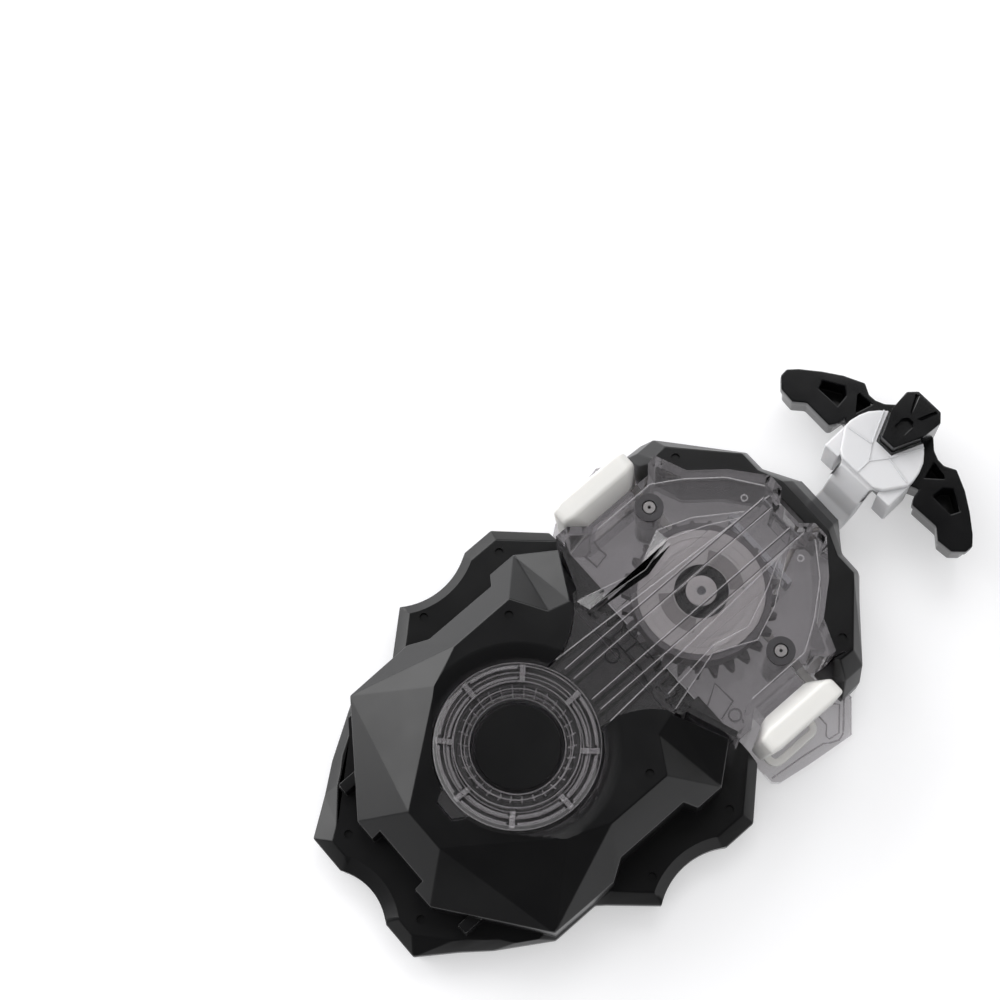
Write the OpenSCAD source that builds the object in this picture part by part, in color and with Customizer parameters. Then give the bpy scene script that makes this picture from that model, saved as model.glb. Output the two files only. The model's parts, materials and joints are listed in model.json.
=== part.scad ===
// String-pull launcher for spinning tops, black and smoke-clear, with two gears and a coiled string.
// Origin: the launch axis, where it meets the surface that the launcher rests on. +Y points to the
// string exit, +Z points up. All lengths are in millimetres.

/* [Casing] */
// Width of the black casing over its wings
casing_w = 80.6; // [78:0.2:90]
// Launch axis to the casing's straight edge at the string module
casing_front = 25.2; // [25.2:0.2:27]
// Launch axis to the casing's rear edge
casing_rear = 52.2; // [50:0.2:60]
// Height of the parting line between the two black shells
parting_z = 4.2; // [3.8:0.1:5]
// Height of the wing's outer edge, under its bevel
wing_edge_z = 6.4; // [5.8:0.1:6.8]
// Height of the wing's flat top
wing_z = 8.4; // [8.2:0.1:8.8]
// Height of the flat deck round the ring
deck_z = 24.7; // [24:0.1:27]
// Width of the dome over its side corners
dome_w = 62.8; // [60:0.2:66]
// Wall of the black shells
shell_wall = 1.8; // [1.4:0.1:2.2]

/* [Seat for the top] */
// Radius of the round seat on the underside
seat_r = 23; // [20:0.2:23.4]
// Depth of the seat
seat_depth = 7; // [6:0.1:7]
// Wall round the seat
seat_wall = 1.6; // [1.2:0.1:1.8]

/* [Gears] */
// Gear module, the pitch diameter over the number of teeth
gear_module = 1.1; // [1.04:0.01:1.12]
// Teeth of the drive gear
drive_teeth = 42; // [40:1:42]
// Teeth of the spool's gear
spool_teeth = 27; // [25:1:27]
// Height of the gears' lower face
gear_z = 9.2; // [9.1:0.1:9.4]
// Thickness of the gears
gear_t = 3.8; // [3:0.1:4]
// Radius of the drive gear's steel shaft
shaft_r = 2; // [1.5:0.1:2.5]
// Radius of the hub's neck, which turns in the seat's ceiling
neck_r = 6; // [5:0.1:7]

/* [Spool and string] */
// Gap between the seat's wall and the drum's flanges
drum_clear = 1.25; // [1.1:0.05:1.5]
// Radius of the drum's core as a share of its flanges' radius
drum_share = 0.694; // [0.6:0.002:0.72]
// Radius of the spool's spring cup
cup_r = 14; // [12:0.1:15]
// Radius of the fixed spool axle
axle_r = 2.45; // [2:0.05:3]
// Diameter of the string
string_d = 1.2; // [0.8:0.1:1.5]
// Thickness of the return spring's strip
spring_strip = 0.35; // [0.2:0.05:0.4]

/* [Ring and stem] */
// Outer radius of the stepped ring
ring_r = 16.4; // [15.5:0.1:16.6]
// Radius of the bare disc inside the ring
disc_r = 9.1; // [8:0.1:9.6]
// Top of the ring
ring_z = 28; // [27.5:0.1:30]
// Launch axis back to the ring's centre
ring_back = 10.5; // [10:0.1:12]
// Width of the stem where it leaves the ring
stem_w = 16.4; // [15:0.2:18]

/* [String module] */
// Width of the smoke-clear cover over its straight sides
cover_w = 49.2; // [48.6:0.2:50]
// Launch axis to the front end of the cover
cover_front = 64; // [63.6:0.1:64.6]
// Top of the cover's flat plate
cover_z = 22.3; // [22.3:0.1:23]
// Wall of the cover
cover_wall = 1.5; // [1.2:0.1:1.5]
// Thickness of the base plate
plate_t = 1.8; // [1.4:0.1:1.9]
// Top of the black end frame
frame_z = 15.3; // [14.5:0.1:16]
// Launch axis to the end frame's nose
frame_front = 71.8; // [71.2:0.1:73]
// Width of the string's exit slot
exit_w = 15.4; // [15:0.1:16]

/* [Selector] */
// Length of a selector loop along the side
loop_l = 19; // [18:0.1:19.4]
// Top of a selector loop
loop_z = 22.5; // [22:0.1:23]
// Travel of the selector from side to side
selector_travel = 1.7; // [1:0.1:1.7]

/* [Handle] */
// Tip to tip width of the pull grip
grip_w = 52.6; // [48:0.2:58]
// Thickness of the grip's wings
grip_t = 9; // [7:0.1:10]
// Width of the white strap
strap_w = 8.4; // [7:0.1:8.6]
// Thickness of the white strap
strap_t = 2.4; // [1.8:0.1:2.6]
// Sideways place of the handle as it lies at rest
handle_shift = 2; // [0:0.1:2]
// Turn of the handle as it lies at rest, in degrees
handle_turn = 2.8; // [0:0.1:3]

/* [Hidden] */
$fn = 72;

// One overrun serves every cut
over = 0.5;
// Radial running clearance of a shaft in its bore
run_gap = 0.05;
// Gap between faces that belong to one fixed assembly
seam_gap = 0.1;
// Gap between a moving piece and a fixed one
free_gap = 0.3;

half_w = casing_w / 2;
half_dome = dome_w / 2;
drive_r = gear_module * drive_teeth / 2;
spool_r = gear_module * spool_teeth / 2;
spool_y = drive_r + spool_r;
addendum = 0.95 * gear_module;
dedendum = 1.2 * gear_module;
drive_tip_r = drive_r + addendum;
spool_tip_r = spool_r + addendum;
ceiling_z = seat_depth + seat_wall;
gear_top_z = gear_z + gear_t;
floor_share = 0.85;
floor_z = floor_share * deck_z;
under_cover_z = cover_z - cover_wall;

// Places along the casing as a share of its front or its rear reach
function along(s) = s > 0 ? s * casing_front : s * casing_rear;
// A half outline, from the rear to the front on the right, closed with its mirror image
function both(half) = concat(half, [for (i = [len(half) - 1:-1:0]) [-half[i][0], half[i][1]]]);
function unit(v) = v / norm(v);
function left_of(v) = [-v[1], v[0]];
// The outline moved inwards by d, for points that run anticlockwise
function inset(p, d) = [for (i = [0:len(p) - 1])
    let (a = p[(i + len(p) - 1) % len(p)], b = p[i], c = p[(i + 1) % len(p)],
         n = left_of(unit(b - a)), m = left_of(unit(c - b)))
    b + d * (n + m) / (1 + n * m)];

// A solid through several outlines with the same number of points, from the lowest up
module loft(rings, heights) {
    n = len(rings[0]);
    last = len(rings) - 1;
    points = [for (k = [0:last]) for (p = rings[k]) [p[0], p[1], heights[k]]];
    sides = [for (k = [0:last - 1]) for (i = [0:n - 1]) let (j = (i + 1) % n, low = k * n, high = low + n)
             each [[low + i, high + i, high + j], [low + i, high + j, low + j]]];
    polyhedron(points, concat(sides, [[for (i = [0:n - 1]) i]], [[for (i = [n - 1:-1:0]) last * n + i]]));
}

module tube(r, bore, z, h) {
    translate([0, 0, z]) difference() {
        cylinder(r = r, h = h);
        translate([0, 0, -over]) cylinder(r = bore, h = h + 2 * over);
    }
}

// Casing outlines, rear to front, as shares of the half width and of the reach along the casing
wing_shares = [[0.386, -1], [0.516, -0.858], [0.623, -0.753], [0.787, -0.55], [0.787, -0.349],
               [0.821, -0.316], [1, -0.162], [1, 0.651], [0.792, 1]];
bevel_shares = [[0.305, -0.95], [0.506, -0.795], [0.603, -0.709], [0.73, -0.6], [0.73, -0.349],
                [0.8, -0.262], [0.936, -0.148], [0.936, 0.623], [0.717, 1]];
function casing_pts(shares) = both([for (s = shares) [s[0] * half_w, along(s[1])]]);
wing_pts = casing_pts(wing_shares);
bevel_pts = casing_pts(bevel_shares);

// The round bites in the wings and in the rear edge
wing_bite_r = 15.1;
wing_bite_out = 12.35;
wing_bite_x = half_w + wing_bite_out;
rear_bite_r = 12.6;
rear_bite_out = 10.4;
rear_bite_y = casing_rear + rear_bite_out;
bite_flare = 2.1;
rear_flare = 2.9;
flare_past = 1.2;

module bite(x, y, r, flare, low_z) {
    translate([x, y, low_z]) cylinder(r = r, h = wing_edge_z - low_z + over);
    translate([x, y, wing_edge_z])
        cylinder(r1 = r, r2 = r + flare * flare_past, h = (wing_z - wing_edge_z) * flare_past);
}

module casing_bites(low_z) {
    for (side = [-1, 1]) bite(side * wing_bite_x, along(0.02), wing_bite_r, bite_flare, low_z);
    bite(0, -rear_bite_y, rear_bite_r, rear_flare, low_z);
}

// Dome: each row is a share of the half width, of the reach along the casing and of the deck height
dome_shares = [[0.151, -0.665, 0.862], [0.355, -0.831, 0.551], [0.994, -0.542, 0.619],
               [0.63, -0.285, 1], [0.742, -0.125, 1], [1, -0.251, 0.64], [0.92, -0.174, 0.749],
               [0.92, 0.29, 0.749], [1, 0.357, 0.64], [0.745, 0.302, 1], [1, 0.607, 0.64],
               [0.522, 0.468, 1], [0.481, 0.651, 1], [0.812, 0.889, 0.769]];
// Rows of the table that lie on the dome's foot, rear to front
dome_rim = [1, 2, 5, 6, 7, 8, 10, 13, 12];
// Top faces of the right half
dome_faces = [[0, 1, 2], [0, 2, 3], [3, 2, 4], [4, 2, 5], [4, 5, 6], [4, 6, 7, 9], [9, 7, 8], [9, 8, 10],
              [11, 9, 10], [12, 11, 10], [12, 10, 13]];
dome_deck = [3, 4, 9, 11, 12];

function backwards(f) = [for (i = [len(f) - 1:-1:0]) f[i]];

module dome(inward) {
    k = (half_dome - 1.25 * inward) / half_dome;
    n = len(dome_shares);
    m = len(dome_rim);
    right = [for (s = dome_shares) [s[0] * half_dome * k, along(s[1]) * k, s[2] * deck_z - inward]];
    foot_z = inward > 0 ? wing_z - shell_wall - over : 0.7 * parting_z + 0.3 * wing_edge_z;
    foot = [for (i = dome_rim) [right[i][0], right[i][1], foot_z]];
    top = concat(right, foot);
    points = concat(top, [for (p = top) [-p[0], p[1], p[2]]]);
    far = n + m;
    last = dome_rim[m - 1];
    side = [for (j = [0:m - 2]) [n + j, n + j + 1, dome_rim[j + 1], dome_rim[j]]];
    half = concat(dome_faces, side);
    mirrored = [for (f = half) [for (i = backwards(f)) i + far]];
    middle = [concat(dome_deck, [for (i = backwards(dome_deck)) i + far]), [0, 3, 3 + far, far],
              [0, far, dome_rim[0] + far, dome_rim[0]], [dome_rim[0], dome_rim[0] + far, n + far, n],
              [last, n + m - 1, n + m - 1 + far, last + far],
              concat([for (j = [m - 1:-1:0]) n + j], [for (j = [0:m - 1]) n + j + far])];
    polyhedron(points, [for (f = concat(half, mirrored, middle)) backwards(f)]);
}

// Screw places in the casing and in the string module
skirt_r = seat_r + seat_wall;
screw_r = 1.3;
screw_head_r = 2.4;
screw_head_t = 1.4;
screw_l = 11;
screw_sink = 0.2;
boss_r = 2.6;
// The front pair stands clear of the drive gear and of the seat, at an angle to the X axis
case_screw_clear = 2.8;
case_screw_turn = 24.9;
case_screw_far = max(drive_tip_r, skirt_r) + boss_r + case_screw_clear;
rear_screw_share = 0.44;
case_screw_right = [case_screw_far * [cos(case_screw_turn), sin(case_screw_turn)],
                    [rear_screw_share * half_w, along(-0.66)]];
module_screw_share = 0.793;
module_screw_x = module_screw_share * cover_w / 2;
module_screw_ahead = 3.4;
module_screw_y = spool_y + module_screw_ahead;
frame_screw_x = 1.016 * cover_w / 2;
frame_screw_back = 10.3;
frame_screw_y = cover_front - frame_screw_back;
case_screw_places = [for (p = case_screw_right, side = [-1, 1]) [side * p[0], p[1]]];
module_screw_places = [for (side = [-1, 1]) [side * module_screw_x, module_screw_y]];
frame_screw_places = [for (side = [-1, 1]) [side * frame_screw_x, frame_screw_y]];

module at_each(places) {
    for (p = places) translate([p[0], p[1], 0]) children();
}

module screw_hole() {
    translate([0, 0, -over]) cylinder(r = screw_head_r + seam_gap, h = screw_sink + screw_head_t + over);
    cylinder(r = screw_r + seam_gap, h = screw_l);
}

// Small round dimples on the wings, the dome and the frame
dimple_r = 0.9;
dimple_depth = 0.5;
module dimple(x, y, z) {
    translate([x, y, z - dimple_depth]) cylinder(r = dimple_r, h = dimple_depth + over);
}
wing_dimple_shares = [[0.874, 0.573], [0.87, -0.117], [0.278, -0.887]];
deck_dimple_x = 0.666 * half_dome;
deck_dimple_y = 0.214 * casing_front;

// Pocket of the ring and the stem in the deck
lug_w = 8.6;
lug_reach_share = 1.146;
lug_root_share = 0.94;
lug_pts = [[-lug_w / 2, -lug_root_share * ring_r], [-lug_w / 4, -lug_reach_share * ring_r],
           [lug_w / 4, -lug_reach_share * ring_r], [lug_w / 2, -lug_root_share * ring_r]];
pocket_half = stem_w / 2 + seam_gap;
filler_half = 0.52 * half_dome;
filler_y = 0.34 * casing_front;
ring_room = 0.5;
ring_pocket_r = ring_r + seam_gap + ring_room;
shoulder_r = 17.3;
shoulder_x = 0.796 * half_dome;
shoulder_y = 3;

// Clip lugs and the recess at the rear of the dome
clip_x = 0.585 * half_dome;
clip_w = 2.3;
clip_l = 6.2;
clip_y = along(-0.795);
rear_step_w = 13;
rear_step_y = along(-0.79);

// Flange: straight edge, then a bevel that is cut flat at the wing's top
bevel_past = 1.5;
module flange() {
    translate([0, 0, parting_z]) linear_extrude(wing_edge_z - parting_z) polygon(wing_pts);
    difference() {
        loft([inset(wing_pts, shell_wall / 2), wing_pts, wing_pts + bevel_past * (bevel_pts - wing_pts)],
             [(parting_z + wing_edge_z) / 2, wing_edge_z, wing_edge_z + bevel_past * (wing_z - wing_edge_z)]);
        translate([-casing_w, -2 * casing_rear, wing_z]) cube([2 * casing_w, 4 * casing_rear, deck_z]);
    }
}

// Room for the drum in front of both shells
module drum_room() {
    translate([0, spool_y, shell_wall]) cylinder(r = drum_flange_r + 2 * free_gap, h = gear_z);
}

// The deck rolls down to the ring in a wide round shoulder
roll_w = 5.6;
roll_deep = 1.3;
roll_lift = 0.1;
roll_r = (roll_w * roll_w + roll_deep * roll_deep) / 2 / roll_deep;
module deck_roll() translate([0, -ring_back, deck_z]) rotate_extrude() difference() {
    translate([ring_pocket_r - over, -2 * roll_deep]) square([roll_w + over, 3 * roll_deep]);
    translate([ring_pocket_r + roll_w, roll_lift - roll_r]) circle(r = roll_r);
}

bearing_top_z = floor_z - shell_wall;
bearing_rise = 0.9;
bearing_z = gear_top_z + bearing_rise;
bearing_r = 4;

module upper_shell() color("#26272b") difference() {
    union() {
        difference() {
            union() {
                flange();
                dome(0);
            }
            casing_bites(parting_z - over);
            // Hollow of the wings
            translate([0, 0, parting_z - over]) linear_extrude(wing_z - shell_wall - parting_z + over)
                difference() {
                    polygon(inset(bevel_pts, shell_wall));
                    for (side = [-1, 1]) translate([side * wing_bite_x, along(0.02)])
                        circle(r = wing_bite_r + bite_flare + 1.5 * shell_wall);
                    translate([0, -rear_bite_y]) circle(r = rear_bite_r + rear_flare + 1.5 * shell_wall);
                }
            dome(shell_wall);
        }
        // Screw bosses, down from the wings and from the roof of the dome
        translate([0, 0, parting_z]) at_each(case_screw_places)
            cylinder(r = boss_r, h = wing_z - parting_z - shell_wall / 2);
        intersection() {
            union() {
                translate([0, 0, parting_z]) at_each(case_screw_places) cylinder(r = boss_r, h = deck_z);
                // Floor and walls of the pockets under the ring and the stem
                translate([0, 0, floor_z - shell_wall]) linear_extrude(deck_z) union() {
                    translate([-filler_half - shell_wall, -ring_back])
                        square([2 * (filler_half + shell_wall), ring_back + along(0.64)]);
                    translate([0, -ring_back]) circle(r = ring_pocket_r + shell_wall);
                }
            }
            dome(shell_wall / 2);
        }
        translate([0, 0, bearing_z]) cylinder(r = bearing_r, h = bearing_top_z - bearing_z + shell_wall / 2);
        // Clip lugs that stand on the flange behind the dome
        for (side = [-1, 1]) translate([side * clip_x - clip_w / 2, clip_y, wing_z - shell_wall / 2])
            cube([clip_w, clip_l, 0.2 * deck_z]);
    }
    deck_roll();
    // Pockets of the ring, of its lug and of the stem
    translate([0, -ring_back, floor_z]) cylinder(r = ring_pocket_r, h = deck_z);
    translate([0, -ring_back, floor_z]) linear_extrude(deck_z) polygon(inset(lug_pts, -seam_gap));
    translate([-pocket_half, -ring_back, floor_z]) cube([2 * pocket_half, ring_back + casing_front, deck_z]);
    // Flat part in front of the rounded shoulders
    translate([0, 0, floor_z]) linear_extrude(deck_z) difference() {
        translate([-filler_half, filler_y]) square([2 * filler_half, casing_front]);
        for (side = [-1, 1]) translate([side * shoulder_x, shoulder_y]) circle(r = shoulder_r);
    }
    // The seat's wall and the gear reach through the front wall
    translate([0, 0, parting_z - over])
        cylinder(r = max(skirt_r + seam_gap, drive_tip_r + 2 * free_gap),
                 h = gear_top_z - parting_z + over + 2 * free_gap);
    translate([-cup_r, 0, parting_z - over])
        cube([2 * cup_r, casing_front + over, gear_top_z - parting_z + over + 2 * free_gap]);
    drum_room();
    translate([0, 0, bearing_z - over]) cylinder(r = shaft_r + run_gap, h = bearing_top_z - bearing_z);
    at_each(case_screw_places) cylinder(r = screw_r, h = screw_sink + screw_l);
    // Stepped recess at the rear
    translate([-rear_step_w / 2, -casing_rear, wing_z])
        cube([rear_step_w, casing_rear + rear_step_y, deck_z]);
    for (s = wing_dimple_shares, side = [-1, 1]) dimple(side * s[0] * half_w, along(s[1]), wing_z);
    for (side = [-1, 1]) dimple(side * deck_dimple_x, deck_dimple_y, deck_z);
}

// The lower shell stands a little inside the upper one
shell_step = 0.5;
lower_pts = inset(wing_pts, shell_step);

module lower_shell() color("#1d1e21") difference() {
    union() {
        difference() {
            linear_extrude(parting_z) polygon(lower_pts);
            for (side = [-1, 1]) translate([side * wing_bite_x, along(0.02), -over])
                cylinder(r = wing_bite_r + shell_step, h = parting_z + 2 * over);
            translate([0, -rear_bite_y, -over])
                cylinder(r = rear_bite_r + shell_step, h = parting_z + 2 * over);
            translate([0, 0, shell_wall]) linear_extrude(parting_z) difference() {
                polygon(inset(lower_pts, shell_wall));
                for (side = [-1, 1]) translate([side * wing_bite_x, along(0.02)])
                    circle(r = wing_bite_r + shell_step + shell_wall);
                translate([0, -rear_bite_y]) circle(r = rear_bite_r + shell_step + shell_wall);
            }
        }
        cylinder(r = skirt_r, h = ceiling_z);
        at_each(case_screw_places) cylinder(r = screw_head_r + shell_wall / 2, h = parting_z);
    }
    translate([0, 0, -over]) cylinder(r = seat_r, h = seat_depth + over);
    cylinder(r = neck_r + run_gap, h = ceiling_z + over);
    drum_room();
    at_each(case_screw_places) screw_hole();
}

// Stepped ring, lug, stem and string cover, moulded in one
disc_room = 0.2;
ring_inner_r = disc_r + disc_room;
ring_cut_r = ring_inner_r + 1.5 * over;
ring_step_shares = [[0, 0.66], [0.1, 0.78], [0.3, 0.78], [0.36, 0.5], [0.5, 0.5], [0.56, 1],
                    [0.78, 1], [0.84, 0.42], [0.93, 0.42], [0.97, 0.62], [1, 0.62], [1, 0], [0, 0]];
module ring_profile() {
    wide = ring_r - ring_inner_r;
    tall = ring_z - floor_z - seam_gap;
    rotate_extrude() polygon([for (s = ring_step_shares) [ring_r - s[0] * wide, s[1] * tall]]);
}

// Cover outline, rear to front, as shares of the half width and of the cover's front reach
cover_half = cover_w / 2;
cover_nose_shares = [[1.075, 0.738], [1.085, 0.772], [0.821, 0.815], [0.607, 0.914], [0.335, 1]];
cover_rear_shares = [[0.335, 0.072], [0.335, 0.139], [0.66, 0.2], [0.66, 0.299], [1.045, 0.355],
                     [1.11, 0.364], [1.11, 0.411], [1, 0.461], [1, 0.713]];
cover_shares = concat(cover_rear_shares, cover_nose_shares, [[0.199, 1], [0.098, 0.955]]);
cover_pts = both([for (s = cover_shares) [s[0] * cover_half, s[1] * cover_front]]);
// Raised leaf over the spool
leaf_shares = [[0.59, 0.275], [0.447, 0.484], [0.606, 0.614], [0.496, 0.723], [0.25, 0.859]];
leaf_top_shares = [[0.46, 0.285], [0.405, 0.5], [0.475, 0.617], [0.36, 0.735], [0.215, 0.84]];
leaf_pts = both([for (s = leaf_shares) [s[0] * cover_half, s[1] * cover_front]]);
leaf_top_pts = both([for (s = leaf_top_shares) [s[0] * cover_half, s[1] * cover_front]]);
leaf_rise = 1.5;
rail_rise = 3.4;
rail_x = 2.6;
rail_w = 2.8;
rail_short = 2;
channel_rise = 1.9;
stem_front = 0.955 * cover_front;
stem_front_w = 0.6 * stem_w;
nose_back = 7.2;
nose_y = spool_y - nose_back;
nose_l = 10.6;
nose_x = 1.268 * cover_half;
nose_deep = nose_x - cover_half + cover_wall;
nose_low_z = 6;
nose_high_z = 17.2;
nose_step = 1.6;

module stem_outline() {
    polygon([[-stem_w / 2, -ring_back], [stem_w / 2, -ring_back], [stem_w / 2, 0],
             [stem_front_w / 2, stem_front], [-stem_front_w / 2, stem_front], [-stem_w / 2, 0]]);
}

module cover_shape() {
    translate([0, 0, cover_z - cover_wall]) linear_extrude(cover_wall) polygon(cover_pts);
    loft([leaf_pts, leaf_pts, leaf_top_pts], [cover_z - cover_wall / 2, cover_z, cover_z + leaf_rise]);
    translate([0, 0, floor_z]) linear_extrude(cover_z + channel_rise - floor_z) stem_outline();
    for (side = [-1, 1]) translate([side * (rail_x + rail_w / 2) - rail_w / 2, 0, floor_z])
        cube([rail_w, stem_front - rail_short, cover_z + rail_rise - floor_z]);
    // Skirt that stands on the base plate
    difference() {
        translate([0, 0, plate_t]) linear_extrude(cover_z - cover_wall / 2 - plate_t) polygon(cover_pts);
        translate([0, 0, plate_t - over]) linear_extrude(under_cover_z - plate_t + over)
            polygon(inset(cover_pts, cover_wall));
    }
}

module top_cover() color("#8d8a8c", 0.45) difference() {
    union() {
        difference() {
            cover_shape();
            // The leaf is hollow underneath, beside the stem
            difference() {
                loft([inset(leaf_pts, cover_wall), inset(leaf_pts, cover_wall),
                      inset(leaf_top_pts, cover_wall / 2)],
                     [under_cover_z - over, under_cover_z, cover_z + leaf_rise - 1.2 * cover_wall]);
                translate([-stem_w / 2, 0, 0]) cube([stem_w, cover_front, ring_z]);
            }
            // Clear of the casing's rounded shoulders, of its flange and of the ring
            for (side = [-1, 1]) translate([side * shoulder_x, shoulder_y, plate_t - over])
                cylinder(r = shoulder_r + seam_gap, h = ring_z);
            translate([0, -ring_back, 0]) cylinder(r = ring_cut_r, h = ring_z + over);
            translate([-half_w, -ring_back, -over])
                cube([casing_w, ring_back + casing_front + seam_gap, gear_z + over]);
            translate([-half_dome, -ring_back, -over])
                cube([dome_w, ring_back + along(0.651) + seam_gap, floor_z + seam_gap + over]);
            casing_end_cut();
            translate([0, 0, gear_z - 2 * free_gap])
                cylinder(r = drive_tip_r + 2 * free_gap, h = gear_t + 4 * free_gap);
        }
        translate([0, -ring_back, floor_z + seam_gap]) {
            ring_profile();
            difference() {
                linear_extrude(0.45 * (ring_z - floor_z)) polygon(lug_pts);
                translate([0, 0, -over]) cylinder(r = ring_cut_r, h = ring_z);
            }
        }
        at_each(module_screw_places) translate([0, 0, plate_t]) cylinder(r = boss_r, h = cover_z - plate_t);
        // Stepped side blocks between the selector's posts
        for (side = [-1, 1]) {
            translate([side * (cover_half + nose_x) / 2 - nose_deep / 2, nose_y, nose_low_z])
                cube([nose_deep, nose_l, nose_high_z - nose_low_z - 2 * nose_step]);
            translate([side * (cover_half + nose_x - nose_step) / 2 - (nose_deep - nose_step) / 2, nose_y,
                       nose_low_z])
                cube([nose_deep - nose_step, nose_l, nose_high_z - nose_low_z]);
        }
    }
    at_each(module_screw_places) cylinder(r = screw_r, h = screw_sink + screw_l);
    // Window for the string and the strap
    translate([-exit_w / 2, 0.9 * cover_front, plate_t - over])
        cube([exit_w, cover_front, exit_h + over + seam_gap]);
    // Windows for the selector's link
    for (side = [-1, 1]) translate([side * cover_half - 2 * cover_wall, link_y - free_gap, plate_t - over])
        cube([4 * cover_wall, link_l + 2 * free_gap, link_t + 2 * free_gap + over]);
}

// The casing's slanted front wall, taken out of the cover
module casing_end_cut() {
    translate([0, 0, -over]) linear_extrude(deck_z + over) for (side = [-1, 1])
        polygon([for (p = [[0.481, 0.651], [0.481, 0.66], [0.812, 0.9], [1.1, 0.9], [1.1, 0.3], [0.5, 0.3]])
                 [side * p[0] * half_dome, along(p[1])]]);
}

// Base plate: right and left edges differ, shares of the half cover and of the cover's front reach
plate_right_shares = [[1.53, 0.415], [1.573, 0.517], [1.625, 0.688], [1.38, 0.775], [1.25, 0.775]];
plate_left_shares = [[-1.25, 0.728], [-1.43, 0.7], [-1.49, 0.66], [-1.36, 0.44]];
plate_right_pts = [for (s = plate_right_shares) [s[0] * cover_half, s[1] * cover_front]];
plate_left_pts = [for (s = plate_left_shares) [s[0] * cover_half, s[1] * cover_front]];
plate_rear_y = casing_front + seam_gap;
plate_rim_w = 1.4;
plate_rim_h = 1.3;
// Blind socket of the axle in a low boss
socket_rise = 1;
socket_z = 0.45 * plate_t;
plate_wide_pts = concat([[1.479 * cover_half, plate_rear_y]], plate_right_pts, plate_left_pts,
                        [[-1.27 * cover_half, plate_rear_y]]);
ear_r = 3.4;
tongue_pts = inset(cover_pts, seam_gap);

module plate_outline() {
    polygon(plate_wide_pts);
    difference() {
        polygon(tongue_pts);
        translate([-cover_w, -ring_back]) square([2 * cover_w, ring_back + plate_rear_y]);
    }
    // Ears under the end frame's screws
    for (side = [-1, 1]) {
        translate([side * frame_screw_x, frame_screw_y]) circle(r = ear_r);
        translate([side * frame_screw_x - ear_r, 0.7 * cover_front])
            square([2 * ear_r, frame_screw_y - 0.7 * cover_front]);
    }
}

module base_plate() color("#9a9698", 0.5) difference() {
    union() {
        linear_extrude(plate_t) plate_outline();
        // Raised rim on the outer edges
        intersection() {
            linear_extrude(plate_t + plate_rim_h) difference() {
                polygon(plate_wide_pts);
                polygon(inset(plate_wide_pts, plate_rim_w));
            }
            for (side = [-1, 1]) translate([side * (loop_out_x + cover_half) - cover_half, plate_rear_y, 0])
                cube([2 * cover_half, cover_front, cover_z]);
        }
        translate([0, spool_y, 0]) cylinder(r = axle_r + shell_wall, h = plate_t + socket_rise);
    }
    translate([0, spool_y, socket_z]) cylinder(r = axle_r, h = plate_t + socket_rise);
    at_each(concat(module_screw_places, frame_screw_places)) screw_hole();
}

// End frame outlines at its foot, its shoulder and its top, rear to front
frame_low_shares = [[1.19, 0.646], [1.366, 0.652], [1.355, 0.724], [0.69, 0.935], [0.496, 0.931],
                    [0.224, 1]];
frame_mid_shares = [[1.19, 0.664], [1.285, 0.682], [1.283, 0.747], [0.683, 0.922], [0.492, 0.923],
                    [0.248, 0.964]];
frame_top_shares = [[1.096, 0.691], [1.14, 0.7], [1.146, 0.748], [0.681, 0.898], [0.487, 0.898],
                    [0.28, 0.928]];
function frame_pts(shares) = both([for (s = shares) [s[0] * cover_half, s[1] * frame_front]]);
frame_low_z = 6.3;
frame_mid_z = 11.5;
exit_z = plate_t + seam_gap;
exit_h = 4.2;

module end_frame() color("#26272b") difference() {
    loft([for (s = [frame_low_shares, frame_low_shares, frame_mid_shares, frame_top_shares]) frame_pts(s)],
         [0, frame_low_z, frame_mid_z, frame_z]);
    // Room for the cover and the base plate
    translate([0, 0, -over]) linear_extrude(frame_z + 2 * over) polygon(both(concat(
        [[cover_half + seam_gap, 0], [cover_half + seam_gap, 0.7 * cover_front]],
        [for (s = cover_nose_shares) [s[0] * cover_half, s[1] * cover_front] + [seam_gap, seam_gap]])));
    translate([0, 0, -over]) linear_extrude(plate_t + over + seam_gap) plate_outline();
    translate([0, 0, -over]) linear_extrude(plate_t + plate_rim_h + over + seam_gap) polygon(plate_wide_pts);
    translate([-exit_w / 2, cover_front - over, exit_z]) cube([exit_w, frame_front, exit_h]);
    at_each(frame_screw_places) cylinder(r = screw_r, h = screw_sink + screw_l);
    for (side = [-1, 1]) dimple(side * frame_screw_x, frame_screw_y, frame_z);
}

disc_z = 0.972 * deck_z;
disc_step = 0.6;
disc_rise = 0.25;
module centre_disc() color("#1b1b1f") translate([0, -ring_back, floor_z]) union() {
    cylinder(r = disc_r, h = disc_z - floor_z);
    cylinder(r = disc_r - disc_step, h = disc_z - floor_z + disc_rise);
}

// Selector loops, the flat link between them and the leaf that holds them
loop_in_x = 1.047 * cover_half;
loop_wide = 7.2;
loop_post_w = 3.4;
loop_bar_z = 18;
loop_foot_z = 5;
link_t = 1;
link_l = 1.8;
link_y = module_screw_y + boss_r + free_gap;
loop_out_x = loop_in_x + loop_wide + selector_travel / 2 + free_gap;
loop_back = 11.6;
loop_y = spool_y - loop_back;
loop_chamfer = 0.8;
loop_top_t = 2;
loop_edge_cut = 1.6;
loop_outer_cut = 3;
loop_inner_cut = 5;
selector_x = selector_travel / 2;
loop_low_z = plate_t + free_gap;

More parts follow.
